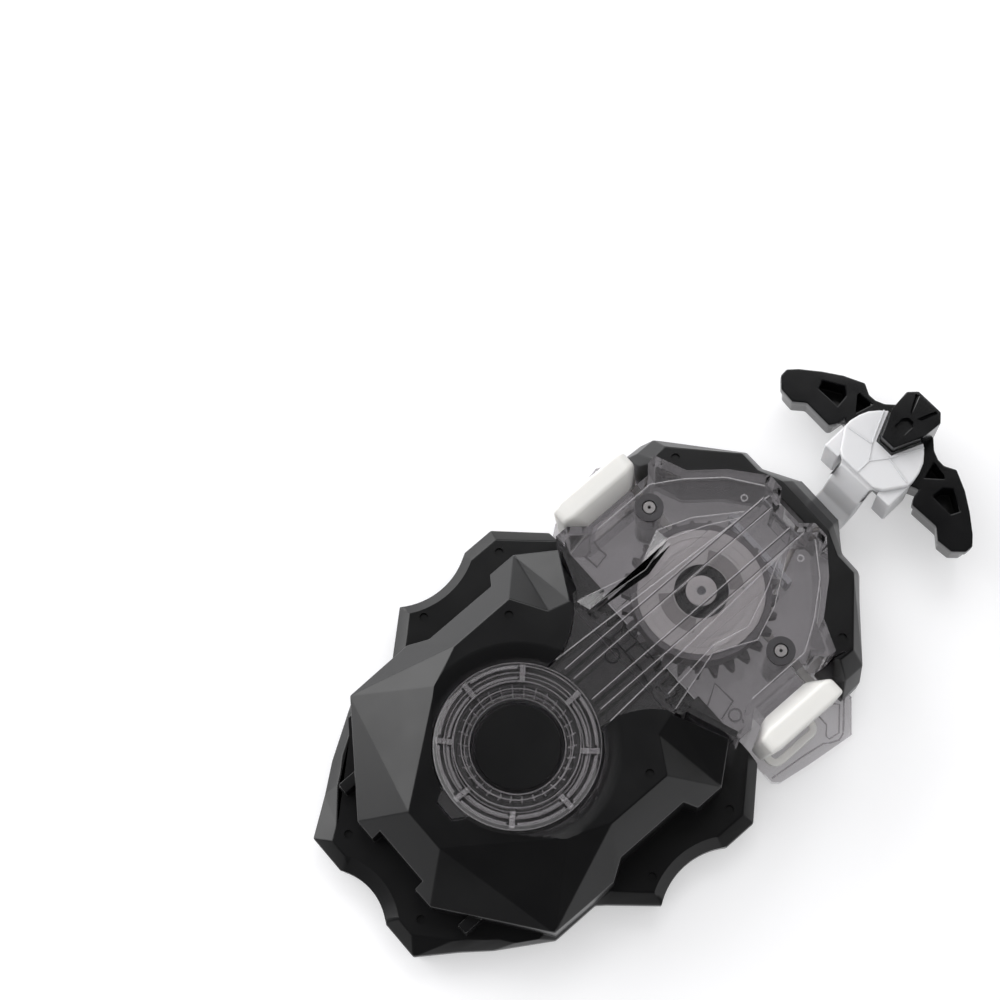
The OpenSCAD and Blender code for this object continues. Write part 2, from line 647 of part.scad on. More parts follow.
module selector_loop(side) translate([selector_x, loop_y, 0]) scale([side, 1, 1]) difference() {
    union() {
        // Bevelled top bar
        translate([0, loop_l, 0]) rotate([90, 0, 0]) linear_extrude(loop_l)
            polygon([[loop_in_x, loop_bar_z], [loop_in_x + 0.42 * loop_wide, loop_z],
                     [loop_in_x + 0.93 * loop_wide, loop_z], [loop_in_x + loop_wide, loop_z - loop_chamfer],
                     [loop_in_x + loop_wide, loop_bar_z]]);
        translate([loop_in_x + 0.3 * loop_wide, 0, loop_low_z])
            cube([0.68 * loop_wide, loop_l, loop_z - loop_low_z - loop_top_t]);
    }
    // Window of the loop
    translate([0, loop_post_w, loop_foot_z])
        cube([2 * half_w, loop_l - 2 * loop_post_w, loop_bar_z - loop_foot_z]);
    // Cut corners
    for (end = [0, 1]) translate([0, end * loop_l, 0]) scale([1, 1 - 2 * end, 1]) {
        translate([loop_in_x + loop_wide, 0, -over]) rotate(45)
            cube([loop_outer_cut, loop_outer_cut, 3 * loop_z], center = true);
        translate([loop_in_x, 0, -over]) rotate(45)
            cube([loop_inner_cut, loop_inner_cut, 3 * loop_z], center = true);
        translate([0, 0, loop_z]) rotate([45, 0, 0])
            cube([3 * half_w, loop_edge_cut, loop_edge_cut], center = true);
    }
}
module selector_right() color("#f2f1ee") selector_loop(1);
module selector_left() color("#f2f1ee") selector_loop(-1);
module selector_bar() color("#e8e6e1") difference() {
    reach = loop_in_x + 0.3 * loop_wide;
    translate([selector_x - reach, link_y, loop_low_z]) cube([2 * reach, link_l, link_t]);
    translate([selector_x, link_y, -over]) cylinder(r = 0.3 * link_l, h = loop_z);
}
// Leaf spring that bears on the link, with two feet on the base plate
detent_w = 6;
detent_t = 0.4;
detent_foot_w = 1;
detent_foot_l = 2.4;
detent_foot_t = 0.6;
module selector_detent() color("#b9bcc0") translate([0, link_y + link_l + free_gap, plate_t]) {
    translate([-detent_w / 2, 0, 0]) cube([detent_w, detent_t, link_t]);
    for (side = [-1, 1]) translate([side * (detent_w - detent_foot_w) / 2 - detent_foot_w / 2, 0, 0])
        cube([detent_foot_w, detent_foot_l, detent_foot_t]);
}

// Meshing gears with straight-flanked teeth that are slimmer than half the pitch
tip_share = 0.27;
pitch_share = 0.62;
root_share = 0.98;
function tooth(r, a, w) = [r * cos(a) - w * sin(a), r * sin(a) + w * cos(a)];
module gear_outline(teeth, start) {
    r = gear_module * teeth / 2;
    polygon([for (i = [0:teeth - 1]) let (a = start + i * 360 / teeth) each [
        tooth(r - dedendum, a, -root_share * gear_module), tooth(r, a, -pitch_share * gear_module),
        tooth(r + addendum, a, -tip_share * gear_module), tooth(r + addendum, a, tip_share * gear_module),
        tooth(r, a, pitch_share * gear_module), tooth(r - dedendum, a, root_share * gear_module)]]);
}

gear_web_t = 0.55 * gear_t;
module drive_gear() color("#e9e7e2") difference() {
    translate([0, 0, gear_z]) linear_extrude(gear_t) gear_outline(drive_teeth, 90);
    translate([0, 0, gear_z + gear_web_t]) difference() {
        cylinder(r = drive_r - 3 * gear_module, h = gear_t);
        translate([0, 0, -over]) cylinder(r = bearing_r, h = gear_t + 2 * over);
    }
    translate([0, 0, gear_z - over]) cylinder(r = shaft_r, h = gear_t + 2 * over);
    for (i = [0:5]) rotate(i * 60) translate([0.58 * drive_r, 0, gear_z - over])
        cylinder(r = 0.13 * drive_r, h = gear_t + 2 * over);
}
washer_t = bearing_z - gear_top_z - free_gap;
module shaft_washer() color("#c9ccd1") tube(bearing_r, shaft_r + run_gap, gear_top_z, washer_t);

hub_r = 0.56 * seat_r;
hub_z = 0.62 * seat_depth;
hub_t = 1.7;
shaft_short = 0.8;
module launch_shaft() color("#b9bcc0") translate([0, 0, hub_z + hub_t / 2])
    cylinder(r = shaft_r, h = bearing_top_z - shaft_short - hub_z - hub_t / 2);
module hook_hub() color("#e9e7e2") difference() {
    union() {
        translate([0, 0, hub_z]) cylinder(r = hub_r, h = hub_t);
        translate([0, 0, hub_z]) cylinder(r = neck_r, h = gear_z - hub_z);
    }
    translate([0, 0, hub_z + hub_t / 2]) cylinder(r = shaft_r, h = gear_z);
}
// Two prongs, each a short arc with a foot that reaches round under the top's own lugs
prong_w = 2.4;
prong_arc = 26;
prong_foot_arc = 44;
prong_low_z = 0.9;
prong_foot_t = 1.3;
module arc_piece(r, w, from, sweep, z, h) {
    rotate(from) translate([0, 0, z]) rotate_extrude(angle = sweep) translate([r - w, 0]) square([w, h]);
}
module hook_prongs() color("#f2f1ee") for (turn = [0, 180]) {
    arc_piece(hub_r, prong_w, turn - prong_arc / 2, prong_arc, prong_low_z, hub_z - prong_low_z);
    arc_piece(hub_r, prong_w, turn - prong_arc / 2, prong_foot_arc, prong_low_z, prong_foot_t);
}

// Spool: drum, gear and spring cup
spool_low_z = loop_low_z + link_t + free_gap;
drum_flange_r = spool_y - skirt_r - drum_clear;
drum_r = drum_share * drum_flange_r;
flange_t = 0.8;
drum_top_z = ceiling_z - flange_t;
cup_room = 1.1;
cup_top_z = under_cover_z - cup_room;
cup_wall = 1.2;
cup_floor_t = 0.8;
cup_floor_z = gear_top_z + cup_floor_t;
module string_spool() color("#e6e4e0") translate([0, spool_y, 0]) difference() {
    union() {
        translate([0, 0, spool_low_z]) cylinder(r = drum_flange_r, h = flange_t);
        translate([0, 0, spool_low_z]) cylinder(r = drum_r, h = gear_z - spool_low_z);
        translate([0, 0, drum_top_z - flange_t])
            cylinder(r = drum_flange_r, h = gear_z - drum_top_z + flange_t);
        translate([0, 0, gear_z]) linear_extrude(gear_t) gear_outline(spool_teeth, -90 + 180 / spool_teeth);
        translate([0, 0, gear_z]) cylinder(r = drum_r, h = cup_floor_z - gear_z);
        translate([0, 0, gear_top_z + free_gap]) cylinder(r = cup_r, h = cup_top_z - gear_top_z - free_gap);
    }
    translate([0, 0, cup_floor_z]) cylinder(r = cup_r - cup_wall, h = cup_top_z);
    translate([0, 0, spool_low_z - over]) cylinder(r = axle_r + run_gap, h = cup_top_z);
}
cap_t = 1;
bush_r = 5.45;
cap_rise = 0.2;
module spool_cap() color("#f0efec") translate([0, spool_y, 0])
    tube(cup_r - cup_wall - seam_gap / 2, bush_r, cup_top_z - cap_t, cap_t + cap_rise);
module spool_bush() color("#2a2a2e") translate([0, spool_y, 0])
    tube(bush_r, axle_r + run_gap, cup_top_z - 2 * cap_t, 2 * cap_t + 2 * cap_rise);
axle_hole_r = 0.9;
axle_hole_l = 3;
module spool_axle() color("#f4f3f0") translate([0, spool_y, 0]) difference() {
    translate([0, 0, socket_z]) cylinder(r = axle_r, h = under_cover_z - socket_z - seam_gap);
    translate([0, 0, under_cover_z - axle_hole_l]) cylinder(r = axle_hole_r, h = cover_z);
}
// Flat spiral strip from the axle out to the cup's wall
spring_turns = 6;
spring_steps = 20;
spring_in_room = 0.9;
spring_out_room = 0.6;
spring_lift = 0.4;
spring_under = 0.5;
spring_in_r = axle_r + spring_in_room;
spring_out_r = cup_r - cup_wall - spring_out_room;
function spiral(t, side) = let (r = spring_in_r + (spring_out_r - spring_in_r) * t + side * spring_strip / 2,
    a = 360 * spring_turns * t) [r * cos(a), r * sin(a)];
module return_spring() color("#8f949b") translate([0, spool_y, cup_floor_z + spring_lift])
    linear_extrude(cup_top_z - 2 * cap_t - cup_floor_z - spring_lift - spring_under) polygon(concat(
        [for (i = [0:spring_turns * spring_steps]) spiral(i / spring_turns / spring_steps, 1)],
        [for (i = [spring_turns * spring_steps:-1:0]) spiral(i / spring_turns / spring_steps, -1)]));

flange_lip = 0.7;
wound_r = drum_flange_r - flange_lip;
module wound_string() color("#f3f2ee") translate([0, spool_y, 0])
    tube(wound_r, drum_r, spool_low_z + flange_t, drum_top_z - 2 * flange_t - spool_low_z);

// Handle, drawn straight and then laid as it rests
strap_z = exit_z + exit_h / 2;
strap_tail = 2.2;
strap_back = cover_front + strap_tail;
head_out = 13.2;
head_y = frame_front + head_out;
head_z = 16;
knot_r = 1.5;
module lay_handle() {
    translate([handle_shift, head_y, 0]) rotate(handle_turn) translate([0, -head_y, 0]) children();
}
// Middle line of the strap in its side view: back end, exit, rise and head
strap_shares = [[0.045, 0], [0.227, 0.17], [0.348, 0.62], [0.53, 0.949], [0.795, 1]];
strap_line = concat([[strap_back, strap_z]], [for (s = strap_shares)
    [frame_front + s[0] * head_out, strap_z + s[1] * (head_z - strap_z)]]);
module strap() {
    n = len(strap_line);
    normals = [for (i = [0:n - 1]) let (a = strap_line[max(i - 1, 0)], b = strap_line[min(i + 1, n - 1)])
               left_of(unit(b - a))];
    outline = concat([for (i = [0:n - 1]) strap_line[i] - normals[i] * strap_t / 2],
                     [for (i = [n - 1:-1:0]) strap_line[i] + normals[i] * strap_t / 2]);
    translate([-strap_w / 2, 0, 0]) rotate([90, 0, 90]) linear_extrude(strap_w) polygon(outline);
}
// Head outline from the strap to the horn tips, as shares of the head's half width and length
head_half = 8.9;
head_l = 14;
head_shares = [[0.472, -0.443], [0.674, -0.371], [1, -0.064], [1.006, 0.057], [0.955, 0.214], [0.865, 0.35],
               [0.708, 0.471], [0.562, 0.554], [0.489, 0.55], [0.208, 0.125]];
head_pts = both([for (s = head_shares) [s[0] * head_half, head_y + s[1] * head_l]]);
leg_in_x = 0.62 * head_half;
leg_l = 6.4;
leg_w = 3.6;
leg_low_z = 4.6;
module handle_yoke() color("#f2f1ee") lay_handle() difference() {
    union() {
        strap();
        translate([0, 0, head_z - strap_t / 2]) linear_extrude(strap_t) polygon(head_pts);
        for (side = [-1, 1]) translate([side * (leg_in_x + leg_w / 2) - leg_w / 2, head_y - leg_l, leg_low_z])
            cube([leg_w, leg_l, head_z - leg_low_z]);
    }
    translate([0, strap_back + strap_tail, strap_z - strap_t]) cylinder(r = 0.7 * string_d, h = 2 * strap_t);
}

// Grip: two swept wings, a low core under the head and a hexagonal boss between the horns
grip_half = grip_w / 2;
grip_z = 4;
wing_line_shares = [[0.24, -0.1], [0.403, 0.012], [0.414, -0.1], [0.449, -0.185], [0.7, -0.173],
                    [0.785, -0.288], [0.92, -0.27], [1, -0.146], [1.004, -0.04], [0.939, 0.071],
                    [0.798, 0.248], [0.658, 0.395], [0.494, 0.515], [0.403, 0.442], [0.338, 0.448],
                    [0.266, 0.495], [0.194, 0.6]];
grip_reach = 17;
grip_y = head_y + 0.07 * grip_reach;
grip_pts = both([for (s = wing_line_shares) [s[0] * grip_half, grip_y + s[1] * grip_reach]]);
boss_z = 20.4;
boss_shares = [[0.07, 0.05], [0.16, 0.388], [0.18, 0.73], [0.118, 0.835]];
boss_pts = both([for (s = boss_shares) [s[0] * grip_half, head_y + s[1] * grip_reach]]);
boss_pocket_shares = [[0.02, 0.285], [0.055, 0.32], [0.055, 0.45], [0.025, 0.51]];
boss_groove_shares = [[0.028, 0.571], [0.044, 0.565], [0.11, 0.788], [0.095, 0.8]];
boss_pocket_t = 1.1;
boss_groove_t = 0.5;
core_half = 4.6;
core_z = 0.6;
core_back = 2.4;
core_l = 12.4;
hollow_shares = [[[0.513, 0.071], [0.711, 0.065], [0.741, 0.165], [0.582, 0.306], [0.525, 0.23]],
                 [[0.371, 0.173], [0.48, 0.33], [0.455, 0.366], [0.335, 0.375]]];
// The wings' lower part stands in under their rim
grip_rim_t = 2.6;
grip_rim_w = 0.8;
module handle_grip() color("#202125") lay_handle() difference() {
    union() {
        difference() {
            union() {
                translate([0, 0, grip_z]) linear_extrude(grip_t) polygon(inset(grip_pts, grip_rim_w));
                translate([0, 0, grip_z + grip_t - grip_rim_t]) linear_extrude(grip_rim_t) polygon(grip_pts);
            }
            translate([-leg_in_x - leg_w - seam_gap, head_y - 2 * leg_l, 0])
                cube([2 * (leg_in_x + leg_w + seam_gap), 2 * leg_l + seam_gap, boss_z]);
        }
        translate([0, 0, grip_z]) linear_extrude(boss_z - grip_z) polygon(boss_pts);
        translate([-core_half, head_y - core_back, core_z])
            cube([2 * core_half, core_l, head_z - strap_t / 2 - core_z - seam_gap]);
    }
    // Hollows in the wings
    translate([0, 0, grip_z + 0.45 * grip_t]) linear_extrude(grip_t) for (side = [-1, 1], h = hollow_shares)
        polygon([for (s = h) [side * s[0] * grip_half, grip_y + s[1] * grip_reach]]);
    // Pocket and two grooves in the boss
    translate([0, 0, boss_z - boss_pocket_t]) linear_extrude(grip_t)
        polygon(both([for (s = boss_pocket_shares) [s[0] * grip_half, head_y + s[1] * grip_reach]]));
    translate([0, 0, boss_z - boss_groove_t]) linear_extrude(grip_t) for (side = [-1, 1])
        polygon([for (s = boss_groove_shares) [side * s[0] * grip_half, head_y + s[1] * grip_reach]]);
    // The head lies on the core, between the boss and the wings
    translate([0, 0, head_z - strap_t / 2 - seam_gap]) linear_extrude(strap_t + boss_z)
        polygon(inset(head_pts, -seam_gap));
}

// String between the drum and the strap, its knot and the eyelet
string_z = (spool_low_z + drum_top_z) / 2;
guide_back = 9;
guide_y = cover_front - guide_back;
guide_h = 6.4;
guide_t = 1.2;
guide_rim = 0.9;
guide_share = 0.45;
guide_w = 2 * (handle_shift + guide_rim + string_d / 2 + guide_share * drum_flange_r);
// A point of the handle's middle line, after the handle is laid
function laid(y) = [handle_shift + (head_y - y) * sin(handle_turn), head_y - (head_y - y) * cos(handle_turn)];
module string_knot() color("#f3f2ee") lay_handle()
    translate([0, strap_back - knot_r, strap_z]) sphere(r = knot_r);
// The string leaves the drum on a tangent
module string_lead() color("#f3f2ee") {
    far = wound_r + string_d / 2 + free_gap;
    b = concat(laid(strap_back - 2 * knot_r - free_gap), strap_z);
    out = [b[0], b[1] - spool_y];
    turn = atan2(out[1], out[0]) - acos(far / norm(out));
    a = [far * cos(turn), spool_y + far * sin(turn), string_z];
    d = b - a;
    translate(a) rotate([0, acos(d[2] / norm(d)), atan2(d[1], d[0])]) cylinder(r = string_d / 2, h = norm(d));
}
module string_guide() color("#c9ccd1") translate([0, guide_y, plate_t]) difference() {
    translate([-guide_w / 2, -guide_t / 2, 0]) cube([guide_w, guide_t, guide_h]);
    translate([guide_rim - guide_w / 2, -guide_t, guide_rim])
        cube([guide_w - 2 * guide_rim, 2 * guide_t, guide_h - 2 * guide_rim]);
}

module screw() translate([0, 0, screw_sink]) {
    cylinder(r = screw_head_r, h = screw_head_t);
    cylinder(r = screw_r, h = screw_l);
}
module case_screws() color("#b9bcc0")
    at_each(concat(case_screw_places, module_screw_places, frame_screw_places)) screw();

upper_shell();
lower_shell();
top_cover();
base_plate();
end_frame();
centre_disc();
selector_left();
selector_right();
selector_bar();
selector_detent();
handle_yoke();
handle_grip();
drive_gear();
launch_shaft();
shaft_washer();
hook_hub();
hook_prongs();
string_spool();
spool_cap();
spool_bush();
spool_axle();
return_spring();
wound_string();
string_lead();
string_knot();
string_guide();
case_screws();
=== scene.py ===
"""Looks for the string-pull launcher: camera, light, materials and the detailed skins of its pieces.

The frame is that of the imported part: the origin is on the launch axis at table height, +Y points to
the string exit and the pull grip, +Z points up. Shapes are worked out in millimetres.
"""

import json
import math

import bmesh
import bpy
import numpy as np
from mathutils import Matrix, Vector


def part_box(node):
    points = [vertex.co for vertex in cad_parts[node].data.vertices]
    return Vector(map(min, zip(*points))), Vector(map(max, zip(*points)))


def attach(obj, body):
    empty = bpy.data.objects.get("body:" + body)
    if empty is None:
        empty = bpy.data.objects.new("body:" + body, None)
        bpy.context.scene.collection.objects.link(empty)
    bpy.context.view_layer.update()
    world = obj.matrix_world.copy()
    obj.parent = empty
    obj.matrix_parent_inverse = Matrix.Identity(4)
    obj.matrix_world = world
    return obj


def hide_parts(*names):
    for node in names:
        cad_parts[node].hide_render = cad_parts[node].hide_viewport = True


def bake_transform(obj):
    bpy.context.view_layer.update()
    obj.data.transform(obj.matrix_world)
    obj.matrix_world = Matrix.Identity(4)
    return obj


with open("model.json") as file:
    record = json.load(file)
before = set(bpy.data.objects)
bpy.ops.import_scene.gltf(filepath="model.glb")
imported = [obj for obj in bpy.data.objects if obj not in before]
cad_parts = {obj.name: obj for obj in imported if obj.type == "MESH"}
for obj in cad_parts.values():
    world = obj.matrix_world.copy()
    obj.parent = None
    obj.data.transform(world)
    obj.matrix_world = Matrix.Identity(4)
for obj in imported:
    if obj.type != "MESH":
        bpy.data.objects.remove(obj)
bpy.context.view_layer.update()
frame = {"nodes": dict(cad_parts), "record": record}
NODES = frame["nodes"]
BODY_OF = {n: b for b, members in frame["record"]["behaviour"]["bodies"].items() for n in members}
SLOT_OF = {s["node"]: s["material_slot"] for s in frame["record"]["subparts"]}
MM = 0.001

# Camera: its place and turn were solved from the photograph. It looks down, 15 degrees off the
# vertical, from 0.49 m, and its lens is given for a sensor 36 mm wide.
camera = bpy.data.objects.new("camera", bpy.data.cameras.new("camera"))
bpy.context.scene.collection.objects.link(camera)
camera.data.sensor_width = 36.0
camera.data.lens = 87.08
camera.data.clip_start = 0.01
right = Vector((0.65382, 0.75577, -0.03634))
up = Vector((-0.72487, 0.63941, 0.25635))
turn = Matrix((right, up, right.cross(up))).transposed().to_4x4()
camera.matrix_world = Matrix.Translation((0.0653, -0.0490, 0.4929)) @ turn
bpy.context.scene.camera = camera


# Studio: a long low soft box at the left of the picture and a smaller one above its far edge. The room is
# white to the eye and fills the shadows softly. In gloss it is white at the horizon and dim overhead, so
# flat decks stay black and slopes catch the light.
def panel(name, at, size, watts):
    """An area light of that size that faces the middle of the launcher."""
    light = bpy.data.objects.new(name, bpy.data.lights.new(name, "AREA"))
    bpy.context.scene.collection.objects.link(light)
    light.data.shape = "RECTANGLE"
    light.data.size, light.data.size_y = size
    light.data.energy = watts
    light.location = at
    light.rotation_euler = (Vector((0, 0.02, 0)) - Vector(at)).to_track_quat("-Z", "Y").to_euler()


panel("soft_box_left", (-0.90, -0.22, 0.44), (1.3, 0.7), 9.6)
panel("soft_box_far", (-0.42, 0.52, 0.83), (0.6, 0.5), 2.2)


def srgb(code):
    """Linear RGBA of a six-digit sRGB hex code."""
    channel = [int(code[i:i + 2], 16) / 255 for i in (0, 2, 4)]
    return tuple(c / 12.92 if c <= 0.04045 else ((c + 0.055) / 1.055) ** 2.4 for c in channel) + (1.0,)


def add(tree, kind, inputs=None, **settings):
    """Adds a node, sets its properties, and sets or links its inputs."""
    node = tree.nodes.new(kind)
    for key, value in settings.items():
        setattr(node, key, value)
    for key, value in (inputs or {}).items():
        if isinstance(value, bpy.types.NodeSocket):
            tree.links.new(value, node.inputs[key])
        else:
            node.inputs[key].default_value = value
    return node


fill_level = 0.72
world = bpy.data.worlds.new("room")
bpy.context.scene.world = world
world.use_nodes = True
bpy.context.scene.view_settings.view_transform = "Standard"
tree = world.node_tree
tree.nodes.clear()
direction = add(tree, "ShaderNodeTexCoord")
height = add(tree, "ShaderNodeSeparateXYZ", {0: direction.outputs["Generated"]})
mirrored = add(tree, "ShaderNodeMapRange", {
    "Value": height.outputs["Z"], "From Min": 0.03, "From Max": 0.3, "To Min": 1.0, "To Max": 0.07})
rays = add(tree, "ShaderNodeLightPath")
lighting = add(tree, "ShaderNodeMix", {
    "Factor": rays.outputs["Is Glossy Ray"], 2: fill_level, 3: mirrored.outputs[0]}, data_type="FLOAT")
seen = add(tree, "ShaderNodeMath", {
    0: rays.outputs["Is Camera Ray"], 1: rays.outputs["Is Transmission Ray"]}, operation="MAXIMUM")
level = add(tree, "ShaderNodeMix", {
    "Factor": seen.outputs[0], 2: lighting.outputs[0], 3: 1.0}, data_type="FLOAT")
back = add(tree, "ShaderNodeBackground", {"Color": (1, 1, 1, 1), "Strength": level.outputs[0]})
add(tree, "ShaderNodeOutputWorld", {"Surface": back.outputs[0]})


# Table: a sheet of matt pale card that lies just under the launcher. To the camera, in gloss and through
# clear plastic it is lifted to the photograph's white, and it keeps its shadows.
def new_material(name):
    """An empty node material."""
    m = bpy.data.materials.new(name)
    m.use_nodes = True
    m.node_tree.nodes.clear()
    return m


card_half = 6.0
card_drop = 0.0002
card_lift = 0.36
floor_mesh = bpy.data.meshes.new("floor")
floor_mesh.from_pydata([(card_half * x, card_half * y, 0) for x, y in ((-1, -1), (1, -1), (1, 1), (-1, 1))],
                       [], [(0, 1, 2, 3)])
floor = bpy.data.objects.new("floor", floor_mesh)
floor.location.z = -card_drop
bpy.context.scene.collection.objects.link(floor)
card = new_material("white_card")
tree = card.node_tree
rays = add(tree, "ShaderNodeLightPath")
seen = add(tree, "ShaderNodeMath", {
    0: rays.outputs["Is Camera Ray"], 1: rays.outputs["Is Glossy Ray"]}, operation="MAXIMUM")
seen = add(tree, "ShaderNodeMath", {
    0: seen.outputs[0], 1: rays.outputs["Is Transmission Ray"]}, operation="MAXIMUM")
lift = add(tree, "ShaderNodeMath", {0: seen.outputs[0], 1: card_lift}, operation="MULTIPLY")
shader = add(tree, "ShaderNodeBsdfPrincipled", {
    "Base Color": srgb("D8D8DA"), "Roughness": 0.6, "Specular IOR Level": 0.2,
    "Emission Color": (1, 1, 1, 1), "Emission Strength": lift.outputs[0]})
add(tree, "ShaderNodeOutputMaterial", {"Surface": shader.outputs[0]})
floor_mesh.materials.append(card)


# Casing: two shells moulded in black ABS and screwed together from below. The upper one has a fine
# spark-eroded grain, the lower one is polished, and each crease has the small fillet of its mould.
def object_noise(tree, size_mm, detail=2.0):
    """Noise in object coordinates, with grains of about size_mm."""
    at = add(tree, "ShaderNodeTexCoord")
    return add(tree, "ShaderNodeTexNoise", {
        "Vector": at.outputs["Object"], "Scale": 1 / (size_mm * MM), "Detail": detail})


def moulded(name, color, rough, grain_mm=0.35, grain_depth=0.004, subsurface=0.0, ior=1.53):
    """Moulded plastic: even colour, a fine grain, and a roughness that drifts from place to place."""
    m = new_material(name)
    tree = m.node_tree
    grain = object_noise(tree, grain_mm)
    bump = add(tree, "ShaderNodeBump", {
        "Height": grain.outputs["Fac"], "Strength": 0.6, "Distance": grain_depth * MM})
    drift = object_noise(tree, 9.0, 3.0)
    roughness = add(tree, "ShaderNodeMapRange", {
        "Value": drift.outputs["Fac"], "From Min": 0.3, "From Max": 0.7,
        "To Min": rough - 0.03, "To Max": rough + 0.04})
    shader = add(tree, "ShaderNodeBsdfPrincipled", {
        "Base Color": srgb(color), "Roughness": roughness.outputs[0], "IOR": ior, "Normal": bump.outputs[0]})
    if subsurface:
        shader.inputs["Subsurface Weight"].default_value = subsurface
        shader.inputs["Subsurface Radius"].default_value = (1.0, 0.95, 0.9)
        shader.inputs["Subsurface Scale"].default_value = 1.5 * MM
    add(tree, "ShaderNodeOutputMaterial", {"Surface": shader.outputs[0]})
    return m


def dress(node, material):
    """Gives a CAD node, which keeps its mesh, its material."""
    NODES[node].data.materials.clear()
    NODES[node].data.materials.append(material)


def show(bm, name, body, material, slot, *stands_for, sharp=34):
    """Makes the finished piece from a bmesh: smooth but where faces meet at more than sharp degrees. It
    rides on its body if it has one."""
    for f in bm.faces:
        f.smooth = True
    for e in bm.edges:
        e.smooth = len(e.link_faces) == 2 and e.calc_face_angle(0.0) < math.radians(sharp)
    mesh = bpy.data.meshes.new(name)
    bm.to_mesh(mesh)
    bm.free()
    piece = bpy.data.objects.new(name, mesh)
    bpy.context.scene.collection.objects.link(piece)
    mesh.materials.append(material)
    even = piece.modifiers.new("flat_faces", "WEIGHTED_NORMAL")
    even.mode = "FACE_AREA_WITH_ANGLE"
    even.weight = 60
    even.keep_sharp = True
    if body:
        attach(piece, body)
    if stands_for:
        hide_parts(*stands_for)
    return piece


def stand_in(bm, node, suffix, material, sharp=34):
    """Shows a bmesh in the place of one CAD node, on that node's body."""
    return show(bm, node + suffix, BODY_OF[node], material, SLOT_OF[node], node, sharp=sharp)


# A CAD node's mesh is loose triangles: points of a copy closer than this are one
weld = 2e-6


def rounded(node, radius_mm, material, segments=2, least_mm=1.3, bend=20.0, area_mm2=1.6, slight_bend=4.0,
            broad_mm2=14.0):
    """A moulded piece as it leaves its mould: the node's shape with a small fillet on its long creases.

    An edge is a crease where it is least_mm long and its faces, each over area_mm2, meet at more than
    bend degrees, or at more than slight_bend where both are over broad_mm2.
    """
    bm = bmesh.new()
    bm.from_mesh(NODES[node].data)
    bmesh.ops.remove_doubles(bm, verts=bm.verts, dist=weld)
    bmesh.ops.dissolve_limit(bm, angle_limit=math.radians(0.6), verts=bm.verts, edges=bm.edges)
    creases = []
    for e in bm.edges:
        if len(e.link_faces) != 2 or e.calc_length() < least_mm * MM:
            continue
        angle = math.degrees(e.calc_face_angle(0.0))
        area = min(f.calc_area() for f in e.link_faces) / MM / MM
        if (angle > bend and area > area_mm2) or (angle > slight_bend and area > broad_mm2):
            creases.append(e)
    bmesh.ops.bevel(bm, geom=creases, offset=radius_mm * MM, offset_type="OFFSET", segments=segments,
                    profile=0.5, affect="EDGES", clamp_overlap=False)
    return stand_in(bm, node, "_skin", material)


# ABS with an eroded grain: a deep black with a wide, soft shine
black_abs = moulded("black_abs", "08080A", 0.33, grain_mm=0.45, grain_depth=0.006)
# ABS from a polished mould: as black, with a tighter shine
black_gloss = moulded("black_abs_polished", "060608", 0.2, grain_mm=0.8, grain_depth=0.003)
rounded("upper_shell", 0.25, black_abs)
rounded("lower_shell", 0.2, black_gloss)


# Centre disc: a black ABS button in the casing's finish, held down by the clear ring. It is left bare,
# with a small step and a rounded rim.
def fillet(corners, radius, steps=4):
    """Closed outlines whose corners become arcs: each arc leaves a side radius before its corner and is
    the parabola through both sides. corners is (..., corner, coordinate)."""
    p = np.asarray(corners, float)
    arms = [np.roll(p, shift, -2) - p for shift in (1, -1)]
    a, b = [p + arm * np.minimum(radius / np.linalg.norm(arm, axis=-1, keepdims=True), 0.48) for arm in arms]
    t = np.linspace(0, 1, steps)[:, None]
    arc = (1 - t) ** 2 * a[..., None, :] + 2 * t * (1 - t) * p[..., None, :] + t * t * b[..., None, :]
    return arc.reshape(*p.shape[:-2], -1, p.shape[-1])


def surface(points, loop_u=True, loop_v=True, caps=False):
    """A bmesh of the quads between a grid of points (u, v, xyz) in millimetres. The grid may close on
    itself along u and along v, and caps close its two ends along u."""
    n, m = points.shape[:2]
    index = np.arange(n * m).reshape(n, m)
    grid = np.vstack([index, index[:1]]) if loop_u else index
    grid = np.hstack([grid, grid[:, :1]]) if loop_v else grid
    quads = np.stack([grid[:-1, :-1], grid[1:, :-1], grid[1:, 1:], grid[:-1, 1:]], -1).reshape(-1, 4).tolist()
    if caps:
        quads += [index[0].tolist(), index[-1][::-1].tolist()]
    mesh = bpy.data.meshes.new("grid")
    mesh.from_pydata((points.reshape(-1, 3) * MM).tolist(), [], quads)
    bm = bmesh.new()
    bm.from_mesh(mesh)
    bpy.data.meshes.remove(mesh)
    bmesh.ops.remove_doubles(bm, verts=bm.verts, dist=1e-7)
    bmesh.ops.recalc_face_normals(bm, faces=bm.faces)
    return bm


def joined(parts):
    """One bmesh that holds all the others."""
    whole = bmesh.new()
    for part in parts:
        mesh = bpy.data.meshes.new("part")
        part.to_mesh(mesh)
        part.free()
        whole.from_mesh(mesh)
        bpy.data.meshes.remove(mesh)
    return whole


def turned(profile, centre, steps=96):
    """A closed profile of radius and height, carried round the vertical line through centre."""
    a = np.linspace(0, 2 * np.pi, steps, endpoint=False)[:, None]
    r, z = np.asarray(profile, float).T[:, None]
    points = np.stack([centre[0] + r * np.cos(a), centre[1] + r * np.sin(a), z + 0 * a], -1)
    return surface(points)


def washer(outer_r, inner_r, bottom, top, centre, steps):
    """A flat ring between two radii and two heights, with a square section."""
    return turned([(outer_r, bottom), (outer_r, top), (inner_r, top), (inner_r, bottom)], centre, steps)


def box_mm(node):
    """Lowest and highest corners of a node, in millimetres."""
    low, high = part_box(node)
    return np.array(low) / MM, np.array(high) / MM


